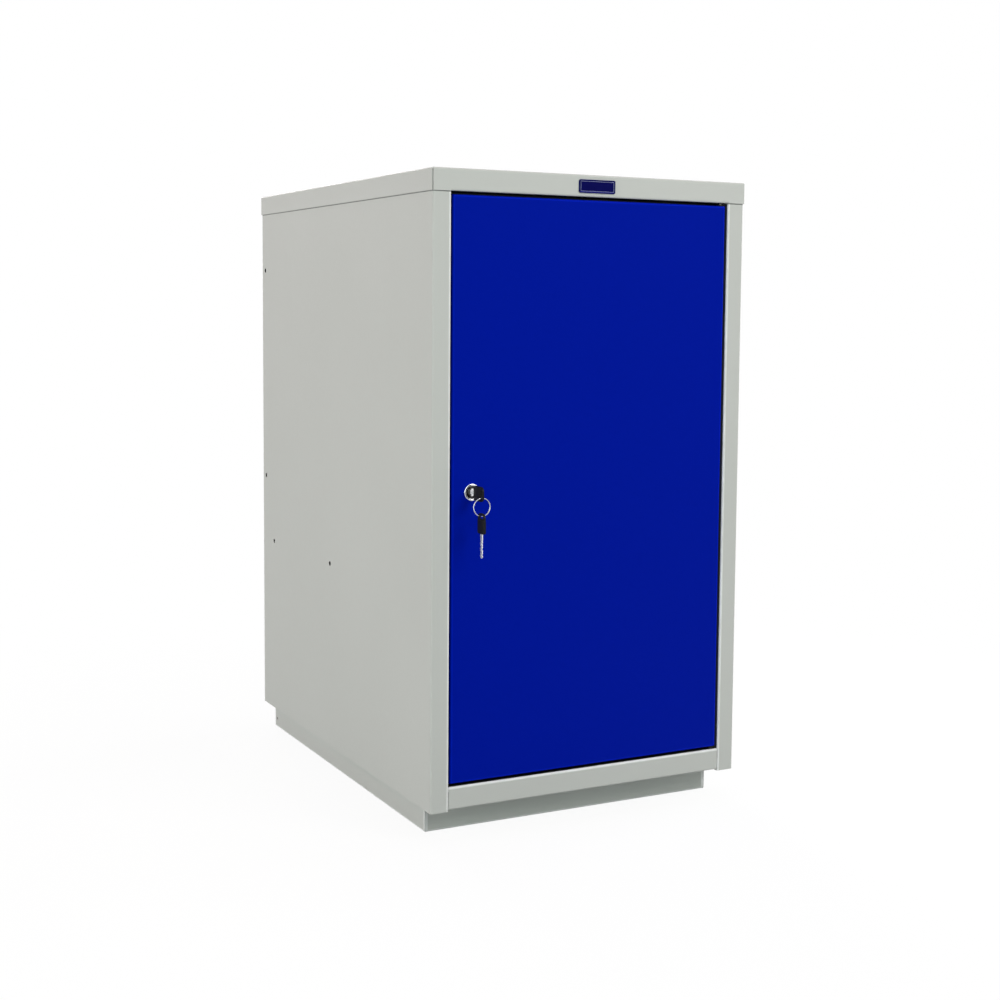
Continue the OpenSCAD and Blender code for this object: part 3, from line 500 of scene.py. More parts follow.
@once
def moulded_skin():
    """Colour, roughness and height of moulded plastic or rubber, with a fine grain and rubbed patches."""
    tree, given, out = group(
        "moulded_skin", "ShaderNodeTree",
        [
            ("Vector", "Vector"), ("Plastic", "Color"), ("Rubbed", "Color"),
            ("Grain Size", "Float", 0.0003), ("Base Roughness", "Float", 0.4), ("Spread", "Float", 0.3),
        ],
        SKIN_OUTPUTS,
    )
    patch = ramp(tree, noise(tree, given["Vector"], 120.0, 3.0), 0.4, 0.7)
    rubbed = times(tree, patch, given["Spread"])
    return give(
        tree, out, Color=mixed(tree, rubbed, given["Plastic"], given["Rubbed"]),
        Roughness=maths(tree, "SUBTRACT", given["Base Roughness"], times(tree, rubbed, 0.3)),
        Height=noise(tree, given["Vector"], maths(tree, "DIVIDE", 1.0, given["Grain Size"]), 1.0),
    )


# Materials

def finish(name, skin, values, metallic, specular, depth, tint=(1, 1, 1)):
    """A material whose colour, roughness and bump come from one of the groups, on Object coordinates."""
    made = bpy.data.materials.new(name)
    tree = emptied(made)
    where = add(tree, "ShaderNodeTexCoord").outputs["Object"]
    skinned = add(tree, "ShaderNodeGroup", node_tree=skin)
    tree.links.new(where, skinned.inputs["Vector"])
    for key, value in values.items():
        socket = skinned.inputs[key]
        socket.default_value = (*value, 1) if socket.type == "RGBA" and len(value) == 3 else value
    bump = add(tree, "ShaderNodeBump", {"Height": skinned.outputs["Height"], "Distance": depth, "Strength": 1.0})
    shader = add(
        tree, "ShaderNodeBsdfPrincipled",
        {
            "Base Color": skinned.outputs["Color"], "Roughness": skinned.outputs["Roughness"],
            "Metallic": metallic, "Specular IOR Level": specular, "Specular Tint": (*tint, 1),
            "Normal": bump.outputs[0],
        },
    )
    add(tree, "ShaderNodeOutputMaterial", {"Surface": shader.outputs[0]})
    return made


def paint(node, low, high, reach):
    """Powder coat for one sheet-metal node, with a highlight painted as a paler line on the folds along the edges
    of a box, and painted shade in its reveals, overhang corners and holes.
    """
    chosen, shade = bpy.context.scene.cabinet_paint, bpy.context.scene.cabinet_shade
    slot = SLOT_OF[node]
    door = slot == "door_paint"
    drift, gloss, tint = COATS[slot]
    coat = tuple(chosen.door if door else chosen.body)
    # The pale tone is the colour of the painted fold highlight; the random drift of tone also mixes toward it.
    pale = tuple(tone * 1.7 if door else tone + (1 - tone) * 0.9 for tone in coat)
    values = {
        "Coat": coat, "Pale": pale, "Low": tuple(low), "High": tuple(high), "Reach": reach,
        "Fold Width": chosen.fold_width, "Fold Share": chosen.fold_share, "Drift": drift,
        "Peel Size": chosen.peel_size, "Base Roughness": chosen.door_roughness if door else chosen.body_roughness,
    }
    made = finish(f"{slot}.{node}", powder_coat(), values, 0.0, gloss, chosen.peel_depth, tint)
    tree, shader, where = parts_of(made)
    # Each box paints shade: black in the reveals, or the coat darkened by the seam share where a shadow falls
    # under an overlap.
    for *corners, soft, dark in shades(node, shade):
        names = {"Vector": where, "Low": corners[0], "High": corners[1], "Soft": soft}
        mask = add(tree, "ShaderNodeGroup", names, node_tree=inside_box()).outputs[0]
        recolour(tree, shader, mask, tuple(shade.dark) if dark else tuple(tone * shade.seam for tone in coat))
    # Painted shade in the side panels' holes.
    if node.startswith("side_panel"):
        darken_holes(made, shade)
    return made


def metal(name, plating, kind):
    """Plated or bare metal of one of the kinds."""
    tarnish, grain, roughness, spread, scratches = METALS[kind]
    values = {
        "Plating": tuple(plating), "Tarnish": tarnish, "Grain": grain, "Base Roughness": roughness,
        "Spread": spread, "Scratches": scratches,
    }
    return finish(name, metal_grain(), values, 1.0, 0.5, 0.003 * MM)


def plastic(slot):
    """Moulded plastic or rubber of one slot."""
    rubbed, wide, high, roughness, spread, gloss, tint = PLASTICS[slot]
    values = {
        "Plastic": tuple(getattr(bpy.context.scene.cabinet_plastic, slot)), "Rubbed": rubbed,
        "Grain Size": wide, "Base Roughness": roughness, "Spread": spread,
    }
    return finish(slot, moulded_skin(), values, 0.0, gloss, high, tint)


def parts_of(made):
    """A material's tree, its shader and its Object coordinates."""
    nodes = made.node_tree.nodes
    shader = next(item for item in nodes if item.type == "BSDF_PRINCIPLED")
    return made.node_tree, shader, next(item for item in nodes if item.type == "TEX_COORD").outputs["Object"]


def recolour(tree, shader, mask, tone):
    """Gives the shader another colour where the mask is 1."""
    colour_now = shader.inputs["Base Color"].links[0].from_socket
    tree.links.new(mixed(tree, mask, colour_now, tone), shader.inputs["Base Color"])


def shades(node, shade):
    """Boxes of painted shade in which a node's coat is darker, how soft their faces are, and whether they are
    fully dark.
    """
    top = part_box(node)[1].z
    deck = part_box("bottom_deck")[1].z
    cap = frame["nodes"]["top_cap"].data.vertices
    skirt = min(corner.co.z for corner in cap if corner.co.y < FRONT - 0.5 * MM)
    over = 0.5 * MM

    def reveal(back, low, high, soft=shade.soft):
        """A fully dark box of painted shade across the opening, from back[0] to back[1] behind the stiles' face.
        """
        inner = OPENING_HALF + 0.3 * MM
        return (-inner, FRONT + back[0], low), (inner, FRONT + back[1], high), soft, True

    if node.startswith("side_panel"):
        # Painted shade: the side panels' reveal behind the door's side gaps is painted black.
        yield reveal(shade.stile, deck - MM, skirt + MM)
        # Painted shadow: a darker band on the side panels just under the cap's skirt.
        yield (-FAR, -FAR, skirt - shade.skirt), (FAR, FAR, skirt + over), shade.skirt / 2, False
    elif node == "top_cap":
        # Painted shade: the cap's lip behind the door's top gap is painted black.
        yield reveal(shade.lip, skirt - shade.lip_height, skirt + over, 0.75 * shade.soft)
    elif node == "bottom_deck":
        # Painted shade: the deck's top behind the door's bottom gap is painted black.
        yield reveal(shade.deck, top - over, top + MM)
    elif node in ("plinth_left_rail", "plinth_right_rail"):
        # Painted shadow: a darker band at the top of the plinth's sides, under the side panels' overhang.
        yield (-FAR, -FAR, top - shade.plinth), (FAR, FAR, top + over), shade.plinth, False


def darken_face(made, centre, front, chosen):
    """Turns the lock's sunk face dark and not metallic: out to a radius, and behind the rim's top."""
    tree, shader, where = parts_of(made)
    reach, outer = distance_from(tree, where, centre, (1.0, 0.0, 1.0)), chosen.face_outer
    face = ramp(tree, reach, outer, outer + 0.1 * MM, 1.0, 0.0)
    mask = times(tree, face, ramp(tree, parted(tree, where)["Y"], front - 0.2 * MM, front))
    recolour(tree, shader, mask, tuple(chosen.face))
    tree.links.new(maths(tree, "SUBTRACT", 1.0, mask), shader.inputs["Metallic"])


def side_holes():
    """Depth and height of the open holes in the sides, and their radius."""
    holes = []
    for mount in frame["record"]["mounts"]:
        sizes = mount["dims"]
        if mount["name"].startswith("left") and "hole_r_mm" in sizes:
            y, z = mount["pos_m"][1:]
            along, up = (sizes.get(key, 0) * MM / 2 for key in ("spacing_x_mm", "spacing_y_mm"))
            holes += [(y - along, z - up), (y + along, z + up)]
            radius = sizes["hole_r_mm"] * MM
    return holes, radius


def darken_holes(made, shade):
    """Paints shade into the side panels' holes: their walls and rims are made dark."""
    tree, shader, where = parts_of(made)
    holes, radius = side_holes()
    mask = 0.0
    for y, z in holes:
        reach = distance_from(tree, where, (0.0, y, z), (0.0, 1.0, 1.0))
        rim = ramp(tree, reach, radius + shade.hole_rim / 3, radius + shade.hole_rim, 1.0, 0.0)
        mask = maths(tree, "MAXIMUM", mask, rim)
    recolour(tree, shader, mask, tuple(shade.dark))


def dress(node, made):
    """Puts a material on every slot of a node's object."""
    item = frame["nodes"][node]
    if not item.material_slots:
        item.data.materials.append(made)
    for slot in item.material_slots:
        slot.material = made


def material_of(node):
    """The material on a node of the model."""
    return frame["nodes"][node].material_slots[0].material


# Meshes

def placed(name, data):
    """A new object with this data, in the scene."""
    item = bpy.data.objects.new(name, data)
    bpy.context.scene.collection.objects.link(item)
    return item


def meshed(name, form):
    """A new mesh from a bmesh, which is freed."""
    mesh = bpy.data.meshes.new(name)
    form.to_mesh(mesh)
    form.free()
    return mesh


def show(name, mesh, body, slot, *nodes):
    """A finished piece on its body, standing for the nodes that it replaces. The slot is not used."""
    piece = placed(name, mesh)
    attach(piece, body)
    if nodes:
        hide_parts(*nodes)


def smooth(mesh, degrees=35):
    """Smooth shading, with edges sharper than the angle kept."""
    mesh.shade_smooth()
    mesh.set_sharp_from_angle(angle=math.radians(degrees))


def settled(holder):
    """The plain mesh of an object with its modifier applied. The object itself is removed."""
    mesh = bpy.data.meshes.new_from_object(holder.evaluated_get(bpy.context.evaluated_depsgraph_get()))
    bpy.data.objects.remove(holder)
    return mesh


def grown(tree, chosen, **sizes):
    """The plain mesh that a geometry tree makes. Each input is one of the sizes, or the setting of that name."""
    holder = placed("holder", bpy.data.meshes.new("holder"))
    modifier = holder.modifiers.new("grow", "NODES")
    modifier.node_group = tree
    for item in tree.interface.items_tree:
        if item.item_type == "SOCKET" and item.in_out == "INPUT":
            key = item.name.lower().replace(" ", "_")
            modifier[item.identifier] = sizes[key] if key in sizes else getattr(chosen, key)
    return settled(holder)


def grown_rows(name, tree, chosen, node, rows, **sizes):
    """One mesh of rows given as (start, end, facing), with the material of a node."""
    form = bmesh.new()
    for start, end, facing in rows:
        ends = {"start": start, "end": end, "facing": facing}
        form.from_mesh(grown(tree, chosen, material=material_of(node), **ends, **sizes))
    for face in form.faces:
        face.material_index = 0
    made = meshed(name, form)
    made.materials.append(material_of(node))
    return made


def softened(node, width, segments=2, degrees=30):
    """A merged copy of a node's mesh whose sharp edges are rounded."""
    form = bmesh.new()
    form.from_mesh(frame["nodes"][node].data)
    bmesh.ops.remove_doubles(form, verts=form.verts, dist=0.002 * MM)
    bmesh.ops.dissolve_limit(form, angle_limit=math.radians(1), verts=form.verts, edges=form.edges)
    holder = placed("holder", meshed(node + "_soft", form))
    bevel = holder.modifiers.new("edges", "BEVEL")
    bevel.width, bevel.segments, bevel.limit_method = width, segments, "ANGLE"
    bevel.angle_limit = math.radians(degrees)
    bevel.use_clamp_overlap = True
    made = settled(holder)
    smooth(made, 40)
    return made


def split_ring_tree():
    """Tree of a split ring about Z: one wire of nearly two turns that steps over from the lower to the upper."""
    tree, given, out = group(
        "split_ring", "GeometryNodeTree",
        [
            *numbers("Radius", "Wire Width", "Wire Depth", "Wire Edge", "Step"),
            ("Points", "Int"), ("Material", "Material"),
        ],
        [("Geometry", "Geometry")],
    )
    line = add(tree, "GeometryNodeCurvePrimitiveLine").outputs[0]
    names = {"Curve": line, "Count": given["Points"]}
    wire = add(tree, "GeometryNodeResampleCurve", names, mode="COUNT").outputs[0]
    along = add(tree, "GeometryNodeSplineParameter").outputs["Factor"]
    whole = maths(tree, "SUBTRACT", 4 * math.pi, times(tree, given["Step"], 1.25))
    angle = times(tree, along, whole)
    rise = ramp(tree, angle, maths(tree, "SUBTRACT", 2 * math.pi, given["Step"]), 2 * math.pi, -0.5, 0.5)
    place = vector_of(
        tree,
        times(tree, maths(tree, "COSINE", angle), given["Radius"]),
        times(tree, maths(tree, "SINE", angle), given["Radius"]),
        times(tree, rise, given["Wire Depth"]),
    )
    wire = add(tree, "GeometryNodeSetPosition", {"Geometry": wire, "Position": place}).outputs[0]
    wire = add(tree, "GeometryNodeSetCurveNormal", {"Curve": wire}, mode="Z_UP").outputs[0]
    section = add(
        tree, "GeometryNodeCurvePrimitiveQuadrilateral",
        {"Width": given["Wire Width"], "Height": times(tree, given["Wire Depth"], 0.98)},
        mode="RECTANGLE",
    ).outputs[0]
    section = add(
        tree, "GeometryNodeFilletCurve", {"Curve": section, "Count": 4, "Radius": given["Wire Edge"]},
        mode="POLY",
    ).outputs[0]
    names = {"Curve": wire, "Profile Curve": section, "Fill Caps": True}
    tube = add(tree, "GeometryNodeCurveToMesh", names).outputs[0]
    return give(tree, out, Geometry=realised(tree, given, tube))


def realised(tree, given, shape):
    """The shape with its instances made real, and given the material."""
    done = add(tree, "GeometryNodeRealizeInstances", {"Geometry": shape}).outputs[0]
    return add(tree, "GeometryNodeSetMaterial", {"Geometry": done, "Material": given["Material"]}).outputs[0]


def row(tree, given, item):
    """Real copies of one item from Start to End, each with its Z axis along Facing, and with the material."""
    points = add(
        tree, "GeometryNodeMeshLine",
        {"Count": given["Count"], "Start Location": given["Start"], "Offset": given["End"]},
        mode="END_POINTS", count_mode="TOTAL",
    ).outputs[0]
    turn = add(tree, "FunctionNodeAlignRotationToVector", {"Vector": given["Facing"]}, axis="Z").outputs[0]
    names = {"Points": points, "Instance": item, "Rotation": turn}
    return realised(tree, given, add(tree, "GeometryNodeInstanceOnPoints", names).outputs[0])


ROW_INPUTS = [
    ("Start", "Vector"), ("End", "Vector"), ("Facing", "Vector"), ("Count", "Int"), ("Material", "Material"),
]


def distance_from_axis(tree):
    """Distance of each point from the Z axis."""
    place = add(tree, "GeometryNodeInputPosition").outputs[0]
    return distance_from(tree, place, (0.0, 0.0, 0.0), (1.0, 1.0, 0.0))


def lifted(tree, mesh, selection, height):
    """The mesh with the chosen points moved up."""
    names = {"Geometry": mesh, "Offset": vector_of(tree, 0, 0, height), "Selection": selection}
    return add(tree, "GeometryNodeSetPosition", names).outputs[0]


def upper_points(tree):
    """Selection of the points above the item's own origin."""
    place = add(tree, "GeometryNodeInputPosition").outputs[0]
    return maths(tree, "GREATER_THAN", parted(tree, place)["Z"], 0.0)


def shifted(tree, mesh, height):
    """The whole mesh moved up."""
    names = {"Geometry": mesh, "Translation": vector_of(tree, 0, 0, height)}
    return add(tree, "GeometryNodeTransform", names).outputs[0]


def round_disc(tree, vertices, rings, radius, depth):
    """A cylinder about Z with rings of faces on its ends."""
    names = {
        "Vertices": vertices, "Side Segments": 1, "Fill Segments": rings, "Radius": radius, "Depth": depth,
    }
    return add(tree, "GeometryNodeMeshCylinder", names, fill_type="TRIANGLE_FAN").outputs["Mesh"]


def spot_weld_tree():
    """Tree of a row of spot welds: shallow dished discs with a low rim, partly sunk in the sheet."""
    tree, given, out = group(
        "spot_weld_row", "GeometryNodeTree",
        [*ROW_INPUTS, *numbers("Radius", "Height")], [("Geometry", "Geometry")],
    )
    disc = round_disc(tree, 28, 7, given["Radius"], 0.02 * MM)
    reach = maths(tree, "DIVIDE", distance_from_axis(tree), given["Radius"])
    rim = maths(tree, "SUBTRACT", ramp(tree, reach, 1.0, 0.78), ramp(tree, reach, 0.74, 0.5, 0.0, 0.8))
    disc = lifted(tree, disc, upper_points(tree), times(tree, rim, given["Height"]))
    disc = add(tree, "GeometryNodeSetShadeSmooth", {"Geometry": disc}).outputs[0]
    return give(tree, out, Geometry=row(tree, given, disc))


def screw_tree():
    """Tree of a row of pan-head screws with a cross recess, their heads up and their shanks below the origin."""
    tree, given, out = group(
        "pan_screw_row", "GeometryNodeTree",
        [
            *ROW_INPUTS,
            *numbers(
                "Head Radius", "Head Height", "Shank Radius", "Shank Length", "Recess Width", "Recess Length",
                "Recess Depth",
            ),
        ],
        [("Geometry", "Geometry")],
    )
    tall = given["Head Height"]
    head = round_disc(tree, 40, 8, given["Head Radius"], tall)
    reach = maths(tree, "DIVIDE", distance_from_axis(tree), given["Head Radius"])
    fall = times(tree, maths(tree, "POWER", reach, 3.0), times(tree, tall, -0.62))
    head = lifted(tree, head, upper_points(tree), fall)
    head = shifted(tree, head, times(tree, tall, 0.5))
    bite = 0.4 * MM
    deep = maths(tree, "ADD", given["Shank Length"], bite)
    names = {"Vertices": 32, "Radius": given["Shank Radius"], "Depth": deep}
    shank = add(tree, "GeometryNodeMeshCylinder", names).outputs["Mesh"]
    down = maths(tree, "SUBTRACT", bite / 2, times(tree, given["Shank Length"], 0.5))
    shank = shifted(tree, shank, down)
    long, wide = given["Recess Length"], given["Recess Width"]
    deep = times(tree, given["Recess Depth"], 2.0)
    arms = []
    for size in ((long, wide, deep), (wide, long, deep)):
        arm = add(tree, "GeometryNodeMeshCube", {"Size": vector_of(tree, *size)}).outputs["Mesh"]
        arms.append(shifted(tree, arm, tall))
    whole = add(tree, "GeometryNodeMeshBoolean", operation="UNION", solver="EXACT")
    for part in (head, shank):
        tree.links.new(part, whole.inputs["Mesh 2"])
    names = {"Mesh 1": whole.outputs[0]}
    cut = add(tree, "GeometryNodeMeshBoolean", names, operation="DIFFERENCE", solver="EXACT")
    for arm in arms:
        tree.links.new(arm, cut.inputs["Mesh 2"])
    return give(tree, out, Geometry=row(tree, given, cut.outputs[0]))


def rounded_loop(width, height, corner, steps=6):
    """Points round a rectangle with rounded corners, about the origin in X and Z."""
    points = []
    for quarter, (sx, sz) in enumerate(((1, 1), (-1, 1), (-1, -1), (1, -1))):
        x, z = sx * (width / 2 - corner), sz * (height / 2 - corner)
        for step in range(steps + 1):
            angle = math.radians(90 * (quarter + step / steps))
            points.append((x + corner * math.cos(angle), z + corner * math.sin(angle)))
    return points


def lofted(name, levels, material, closed=False):
    """A shell through loops given as (points in X and Z, Y), with its ends filled, or joined to each other."""
    form = bmesh.new()
    loops = [[form.verts.new((x, y, z)) for x, z in points] for points, y in levels]
    for first, second in zip(loops, loops[1:] + loops[:1] * closed):
        for i in range(len(first)):
            j = (i + 1) % len(first)
            form.faces.new((first[i], first[j], second[j], second[i]))
    if not closed:
        form.faces.new(loops[0])
        form.faces.new(loops[-1])
    bmesh.ops.recalc_face_normals(form, faces=form.faces)
    mesh = meshed(name, form)
    mesh.materials.append(material)
    return mesh


# Operators

class CABINET_OT_stage(Operator):
    """Camera at the photograph's angle, a pale floor, an even sky and soft lamps"""

    bl_idname = "cabinet.stage"
    bl_label = "Set the Stage"

    def execute(self, context):
        chosen = context.scene.cabinet_stage
        yaw, pitch, roll = chosen.turn
        lens = bpy.data.cameras.new("camera")
        lens.sensor_width, lens.lens = 36, chosen.lens
        lens.shift_x, lens.shift_y = chosen.shift
        lens.clip_start, lens.clip_end = 0.05, 200
        camera = placed("camera", lens)
        turn = Matrix.Rotation(yaw, 4, "Z") @ Matrix.Rotation(math.pi / 2 + pitch, 4, "X")
        camera.matrix_world = Matrix.Translation(chosen.place) @ (turn @ Matrix.Rotation(roll, 4, "Z"))
        context.scene.camera = camera
        context.scene.view_settings.view_transform = "Standard"
        self.light(context, chosen)
        self.floor(context, chosen)
        return {"FINISHED"}

    def seen(self, tree):
        """1 for what the camera, a reflection or glass shows, and 0 for what lights the object."""
        path = add(tree, "ShaderNodeLightPath").outputs
        return maths(
            tree, "MAXIMUM", path["Is Camera Ray"],
            maths(tree, "MAXIMUM", path["Is Glossy Ray"], path["Is Transmission Ray"]),
        )

    def light(self, context, chosen):
        """An even sky that the camera sees as white, and the softboxes."""
        world = bpy.data.worlds.new("backdrop")
        tree = emptied(world)
        strength = ramp(tree, self.seen(tree), 0.0, 1.0, chosen.sky, 1.0, smooth=False)
        sky = add(tree, "ShaderNodeBackground", {"Color": (1, 1, 1, 1), "Strength": strength})
        add(tree, "ShaderNodeOutputWorld", {"Surface": sky.outputs[0]})
        context.scene.world = world
        for name, (place, watts, tint) in LAMPS.items():
            lamp = bpy.data.lights.new(name, "AREA")
            lamp.shape, lamp.size, lamp.energy, lamp.color = "SQUARE", chosen.lamp_size, watts, tint
            item = placed(name, lamp)
            item.location = place
            item.rotation_euler = (Vector(place) - Vector(chosen.target)).to_track_quat("Z", "Y").to_euler()
            item.visible_camera = False

    def floor(self, context, chosen):
        """A round floor that turns to the backdrop's white away from the cabinet."""
        form = bmesh.new()
        bmesh.ops.create_circle(form, cap_ends=True, radius=chosen.floor_radius, segments=96)
        mesh = meshed("floor", form)
        made = bpy.data.materials.new("floor")
        tree = emptied(made)
        reach = length_of(tree, add(tree, "ShaderNodeTexCoord").outputs["Object"])
        white = ramp(tree, reach, chosen.white_from, chosen.white_to, chosen.floor_white, 1.0)
        lift = times(tree, self.seen(tree), white)
        tone = ramp(tree, self.seen(tree), 0.0, 1.0, chosen.floor_bounce, chosen.floor_tone, smooth=False)
        matt = add(tree, "ShaderNodeBsdfDiffuse", {"Color": tone})
        glow = add(tree, "ShaderNodeEmission", {"Color": (1, 1, 1, 1), "Strength": 1.0})
        both = add(tree, "ShaderNodeMixShader", {0: lift, 1: matt.outputs[0], 2: glow.outputs[0]})
        add(tree, "ShaderNodeOutputMaterial", {"Surface": both.outputs[0]})
        mesh.materials.append(made)
        placed("floor", mesh)


class CABINET_OT_paint(Operator):
    """Powder coat on every sheet-metal node of the body and the door, with painted highlights on folds and painted
    shade in reveals, corners and holes
    """

    bl_idname = "cabinet.paint"
    bl_label = "Paint the Sheet Metal"

    def execute(self, context):
        for node, slot in SLOT_OF.items():
            if slot in ("body_paint", "door_paint"):
                dress(node, paint(node, *self.folds(node)))
        return {"FINISHED"}

    def folds(self, node):
        """The box along whose edges the node's fold highlight is painted, and how far to each side of the middle
        it runs.
        """
        low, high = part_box(node)
        if node.startswith("side_panel"):
            return (-OPENING_HALF, FRONT, -FAR), (OPENING_HALF, FAR, FAR), FAR
        if node == "top_cap":
            return (-FAR, low.y, low.z), (FAR, FAR, FAR), OPENING_HALF
        if node == "bottom_deck":
            return (-FAR, low.y, -FAR), (FAR, FAR, high.z), OPENING_HALF
        return low, high, FAR


class CABINET_OT_metal(Operator):
    """Chrome on the lock and the ring, and grease on the hinge's pins and washer"""

    bl_idname = "cabinet.metal"
    bl_label = "Plate the Hardware"

    def execute(self, context):
        chosen = context.scene.cabinet_metal
        greased = metal("greased_zinc", chosen.greased, "greased_zinc")
        for node, slot in SLOT_OF.items():
            if node in GREASED:
                dress(node, greased)
            elif slot == "chrome":
                dress(node, self.chrome(node, chosen))
        return {"FINISHED"}

    def chrome(self, node, chosen):
        """Chrome for one node: duller on the ring, and with a dark face on the lock's housing."""
        plating = [tone * (chosen.ring_share if node == "key_ring" else 1) for tone in chosen.chrome]
        made = metal(f"chrome.{node}", plating, "chrome")
        if node == "lock_housing":
            low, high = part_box("lock_plug")
            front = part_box("lock_housing")[0].y + chosen.face_sink
            darken_face(made, tuple(low.lerp(high, 0.5)), front, chosen)
        return made


class CABINET_OT_plastic(Operator):
    """Moulded plastic and rubber"""

    bl_idname = "cabinet.plastic"
    bl_label = "Colour the Plastic"

    def execute(self, context):
        made = {slot: plastic(slot) for slot in PLASTICS}
        for node, slot in SLOT_OF.items():
            if slot in made:
                dress(node, made[slot])
        return {"FINISHED"}


class CABINET_OT_key_heads(Operator):
    """Moulded heads of the keys, with their edges rounded"""

    bl_idname = "cabinet.key_heads"
    bl_label = "Mould the Key Heads"

    def execute(self, context):
        width = context.scene.cabinet_plastic.head_edge
        for node, body in (("key_head", "key"), ("spare_key_head", "spare_key")):
            mesh = softened(node, width, 3)
            mesh.materials.clear()
            mesh.materials.append(material_of(node))
            show(node + "_moulded", mesh, body, "black_plastic", node)
        return {"FINISHED"}


class CABINET_OT_ring(Operator):
    """Split ring of two turns through the keys' heads"""

    bl_idname = "cabinet.ring"
    bl_label = "Coil the Key Ring"

    def execute(self, context):
        chosen = context.scene.cabinet_ring
        low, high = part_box("key_ring")
        radius = (high.x - low.x) / 2 - chosen.wire_width / 2
        mesh = grown(split_ring_tree(), chosen, radius=radius, material=material_of("key_ring"))
        turn = Matrix.Rotation(math.pi / 2, 4, "X") @ Matrix.Rotation(chosen.turned, 4, "Z")
        mesh.transform(Matrix.Translation(low.lerp(high, 0.5)) @ turn)
        smooth(mesh, 50)
        show("key_ring_split", mesh, "ring", "chrome", "key_ring")
        return {"FINISHED"}


class CABINET_OT_plate(Operator):
    """Blank name plate with a raised rim and a slightly crowned field"""

    bl_idname = "cabinet.plate"
    bl_label = "Mould the Name Plate"

    def execute(self, context):
        chosen = context.scene.cabinet_plate
        low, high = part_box("name_plate")
        size, deep = high - low, high.y - low.y
        middle = Matrix.Translation((low.x + size.x / 2, high.y, low.z + size.z / 2))
        edge, part_way = chosen.edge, 0.3 * chosen.edge
        steps = [(0, 0), (0, deep - edge), (part_way, deep - part_way), (edge, deep)]
        steps += [(chosen.rim - edge, deep), (chosen.rim - 0.1 * MM, deep - 0.1 * MM)]
        steps += [(chosen.rim, deep - chosen.sink + 0.08 * MM), (chosen.rim + 0.15 * MM, deep - chosen.sink)]
        field = size.z / 2 - chosen.rim - 0.15 * MM
        for part in (0.25, 0.5, 0.7, 0.85):
            rise = chosen.crown * math.sin(math.radians(90) * part)
            steps.append((chosen.rim + 0.15 * MM + field * part, deep - chosen.sink + rise))
        mesh = lofted("name_plate_face", self.loops(chosen, size, steps, 0.25 * MM), material_of("name_plate"))
        mesh.transform(middle)
        smooth(mesh, 60)
        show("name_plate_face", mesh, "cabinet", "plate_plastic", "name_plate")
        self.line(chosen, size, deep, middle)
        return {"FINISHED"}

    def loops(self, chosen, size, steps, least):
        """Loops at each inset and height over the plate's back, their corners no tighter than the least."""
        for inset, out in steps:
            corner = max(chosen.corner - inset, least)
            yield rounded_loop(size.x - 2 * inset, size.z - 2 * inset, corner), -out

    def line(self, chosen, size, deep, middle):
        """A low silver bead round the field, along the plate's edges."""
        foot, top = deep - chosen.sink - 0.05 * MM, deep - 0.03 * MM
        silver = metal("plate_line", chosen.silver, "plate_line")
        shoulder = top - 0.15 * MM
        steps = []
        for part, out in ((0, foot), (0, shoulder), (0.25, top), (0.75, top), (1, shoulder), (1, foot)):
            steps.append((chosen.line_in + part * chosen.line, out))
        mesh = lofted("name_plate_line", self.loops(chosen, size, steps, 0.3 * MM), silver, closed=True)
        mesh.transform(middle)
        smooth(mesh, 60)
        show("name_plate_line", mesh, "cabinet", "chrome")


class CABINET_OT_screws(Operator):
    """Pan-head screws of the back panel"""

    bl_idname = "cabinet.screws"
    bl_label = "Drive the Screws"

    def execute(self, context):
        chosen = context.scene.cabinet_screws
        low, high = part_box("back_panel_screws")
        middle = (low.y + high.y) / 2
        first, last = low.z + chosen.head_radius, high.z - chosen.head_radius
        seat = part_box("back_panel")[1].x - SHEET
        rows = []
        for x in (-seat, seat):
            rows.append(((x, middle, first), (x, middle, last), (-x / seat, 0, 0)))
        mesh = grown_rows(
            "back_panel_screws_cross", screw_tree(), chosen, "back_panel_screws", rows, shank_length=high.x - seat,
        )
        smooth(mesh, 35)
        show("back_panel_screws_cross", mesh, "cabinet", "zinc", "back_panel_screws")
        return {"FINISHED"}


class CABINET_OT_welds(Operator):
    """Spot welds along the feet of the door's stiffener"""

    bl_idname = "cabinet.welds"
    bl_label = "Mark the Spot Welds"

    def execute(self, context):
        chosen = context.scene.cabinet_welds
        low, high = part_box("door_stiffener")
        back = low.y + SHEET + 0.01 * MM
        rows = []
        for x in (low.x + chosen.foot / 2, high.x - chosen.foot / 2):
            rows.append(((x, back, low.z + chosen.inset), (x, back, high.z - chosen.inset), (0, 1, 0)))
        mesh = grown_rows("stiffener_spot_welds", spot_weld_tree(), chosen, "door_stiffener", rows)
        smooth(mesh, 60)
        show("stiffener_spot_welds", mesh, "door", "door_paint")
        return {"FINISHED"}


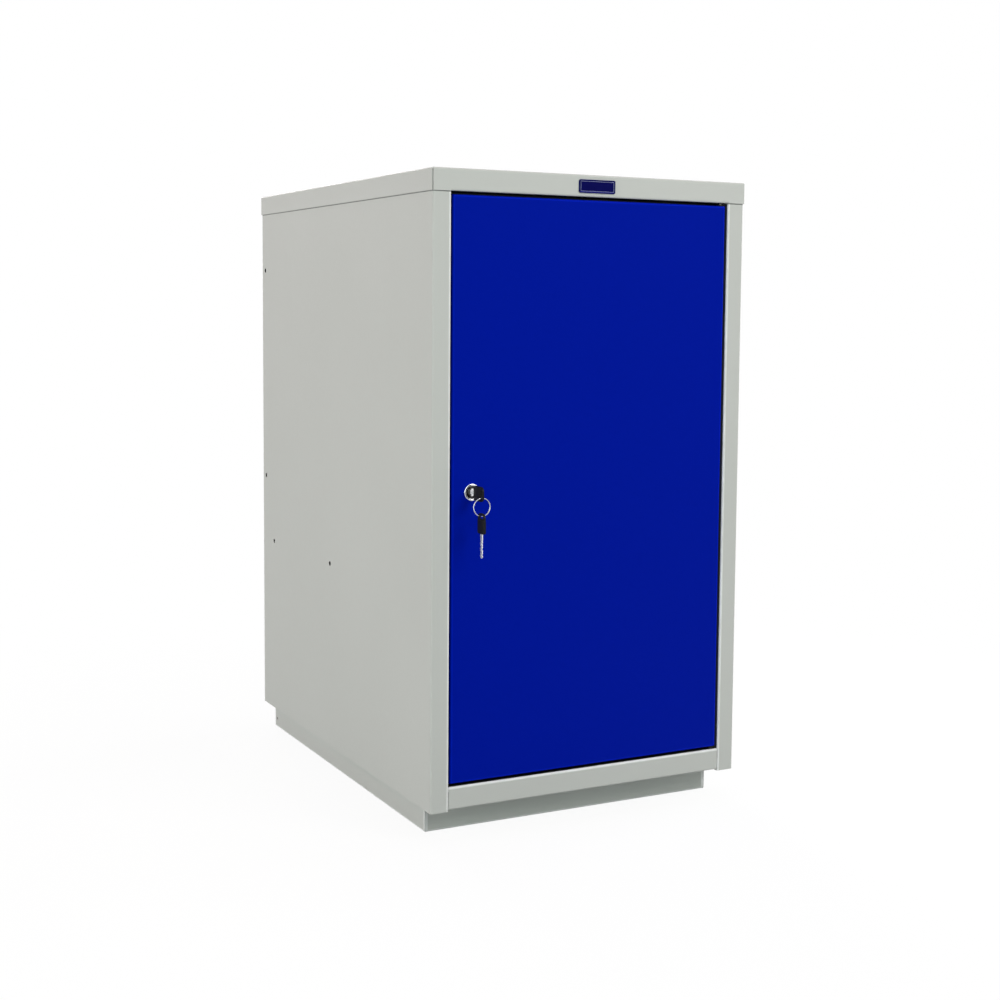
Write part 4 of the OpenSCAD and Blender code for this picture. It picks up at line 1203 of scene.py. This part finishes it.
class CABINET_OT_seams(Operator):
    """A hollow bead of paint in the seam between the deck's rail and the left stile"""

    bl_idname = "cabinet.seams"
    bl_label = "Fill the Seam"

    def execute(self, context):
        chosen = context.scene.cabinet_seam
        low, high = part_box("bottom_deck")
        coat = material_of("bottom_deck")
        start, wide = -OPENING_HALF - chosen.bite, RAIL_GAP + 2 * chosen.bite
        points = []
        for part in (0, 0.15, 0.35, 0.5, 0.65, 0.85, 1):
            points.append((start + wide * part, -chosen.sink - chosen.hollow * math.sin(math.pi * part)))
        points += [(start + wide, -chosen.deep), (start, -chosen.deep)]
        mesh = lofted("rail_seam_bead", [(points, low.z + 0.6 * MM), (points, high.z - 0.8 * MM)], coat)
        mesh.transform(Matrix.Translation((0, FRONT, 0)) @ Matrix.Rotation(math.pi / 2, 4, "X"))
        smooth(mesh, 40)
        show("rail_seam_bead", mesh, "cabinet", "body_paint")
        return {"FINISHED"}


OPERATORS = (
    CABINET_OT_stage, CABINET_OT_paint, CABINET_OT_metal, CABINET_OT_plastic, CABINET_OT_key_heads,
    CABINET_OT_ring, CABINET_OT_plate, CABINET_OT_screws, CABINET_OT_welds, CABINET_OT_seams,
)


class CABINET_PT_panel(Panel):
    """Lists the cabinet's settings and its steps"""

    bl_idname = "CABINET_PT_panel"
    bl_label = "Tool Cabinet"
    bl_space_type = "VIEW_3D"
    bl_region_type = "UI"
    bl_category = "Cabinet"

    def draw(self, context):
        for step in OPERATORS:
            self.layout.operator(step.bl_idname)
        for name, kind in SETTINGS.items():
            box = self.layout.box()
            box.label(text=kind.__doc__)
            for key in kind.__annotations__:
                box.prop(getattr(context.scene, name), key)


def register():
    """Registers the settings, the steps and the panel."""
    for name, kind in SETTINGS.items():
        bpy.utils.register_class(kind)
        setattr(bpy.types.Scene, name, PointerProperty(type=kind))
    for kind in (*OPERATORS, CABINET_PT_panel):
        bpy.utils.register_class(kind)


def unregister():
    """Takes them away again."""
    for kind in (CABINET_PT_panel, *reversed(OPERATORS)):
        bpy.utils.unregister_class(kind)
    for name, kind in SETTINGS.items():
        delattr(bpy.types.Scene, name)
        bpy.utils.unregister_class(kind)


def main():
    """Runs every step in order."""
    register()
    for step in OPERATORS:
        family, name = step.bl_idname.split(".")
        getattr(getattr(bpy.ops, family), name)()


if __name__ == "__main__":
    main()
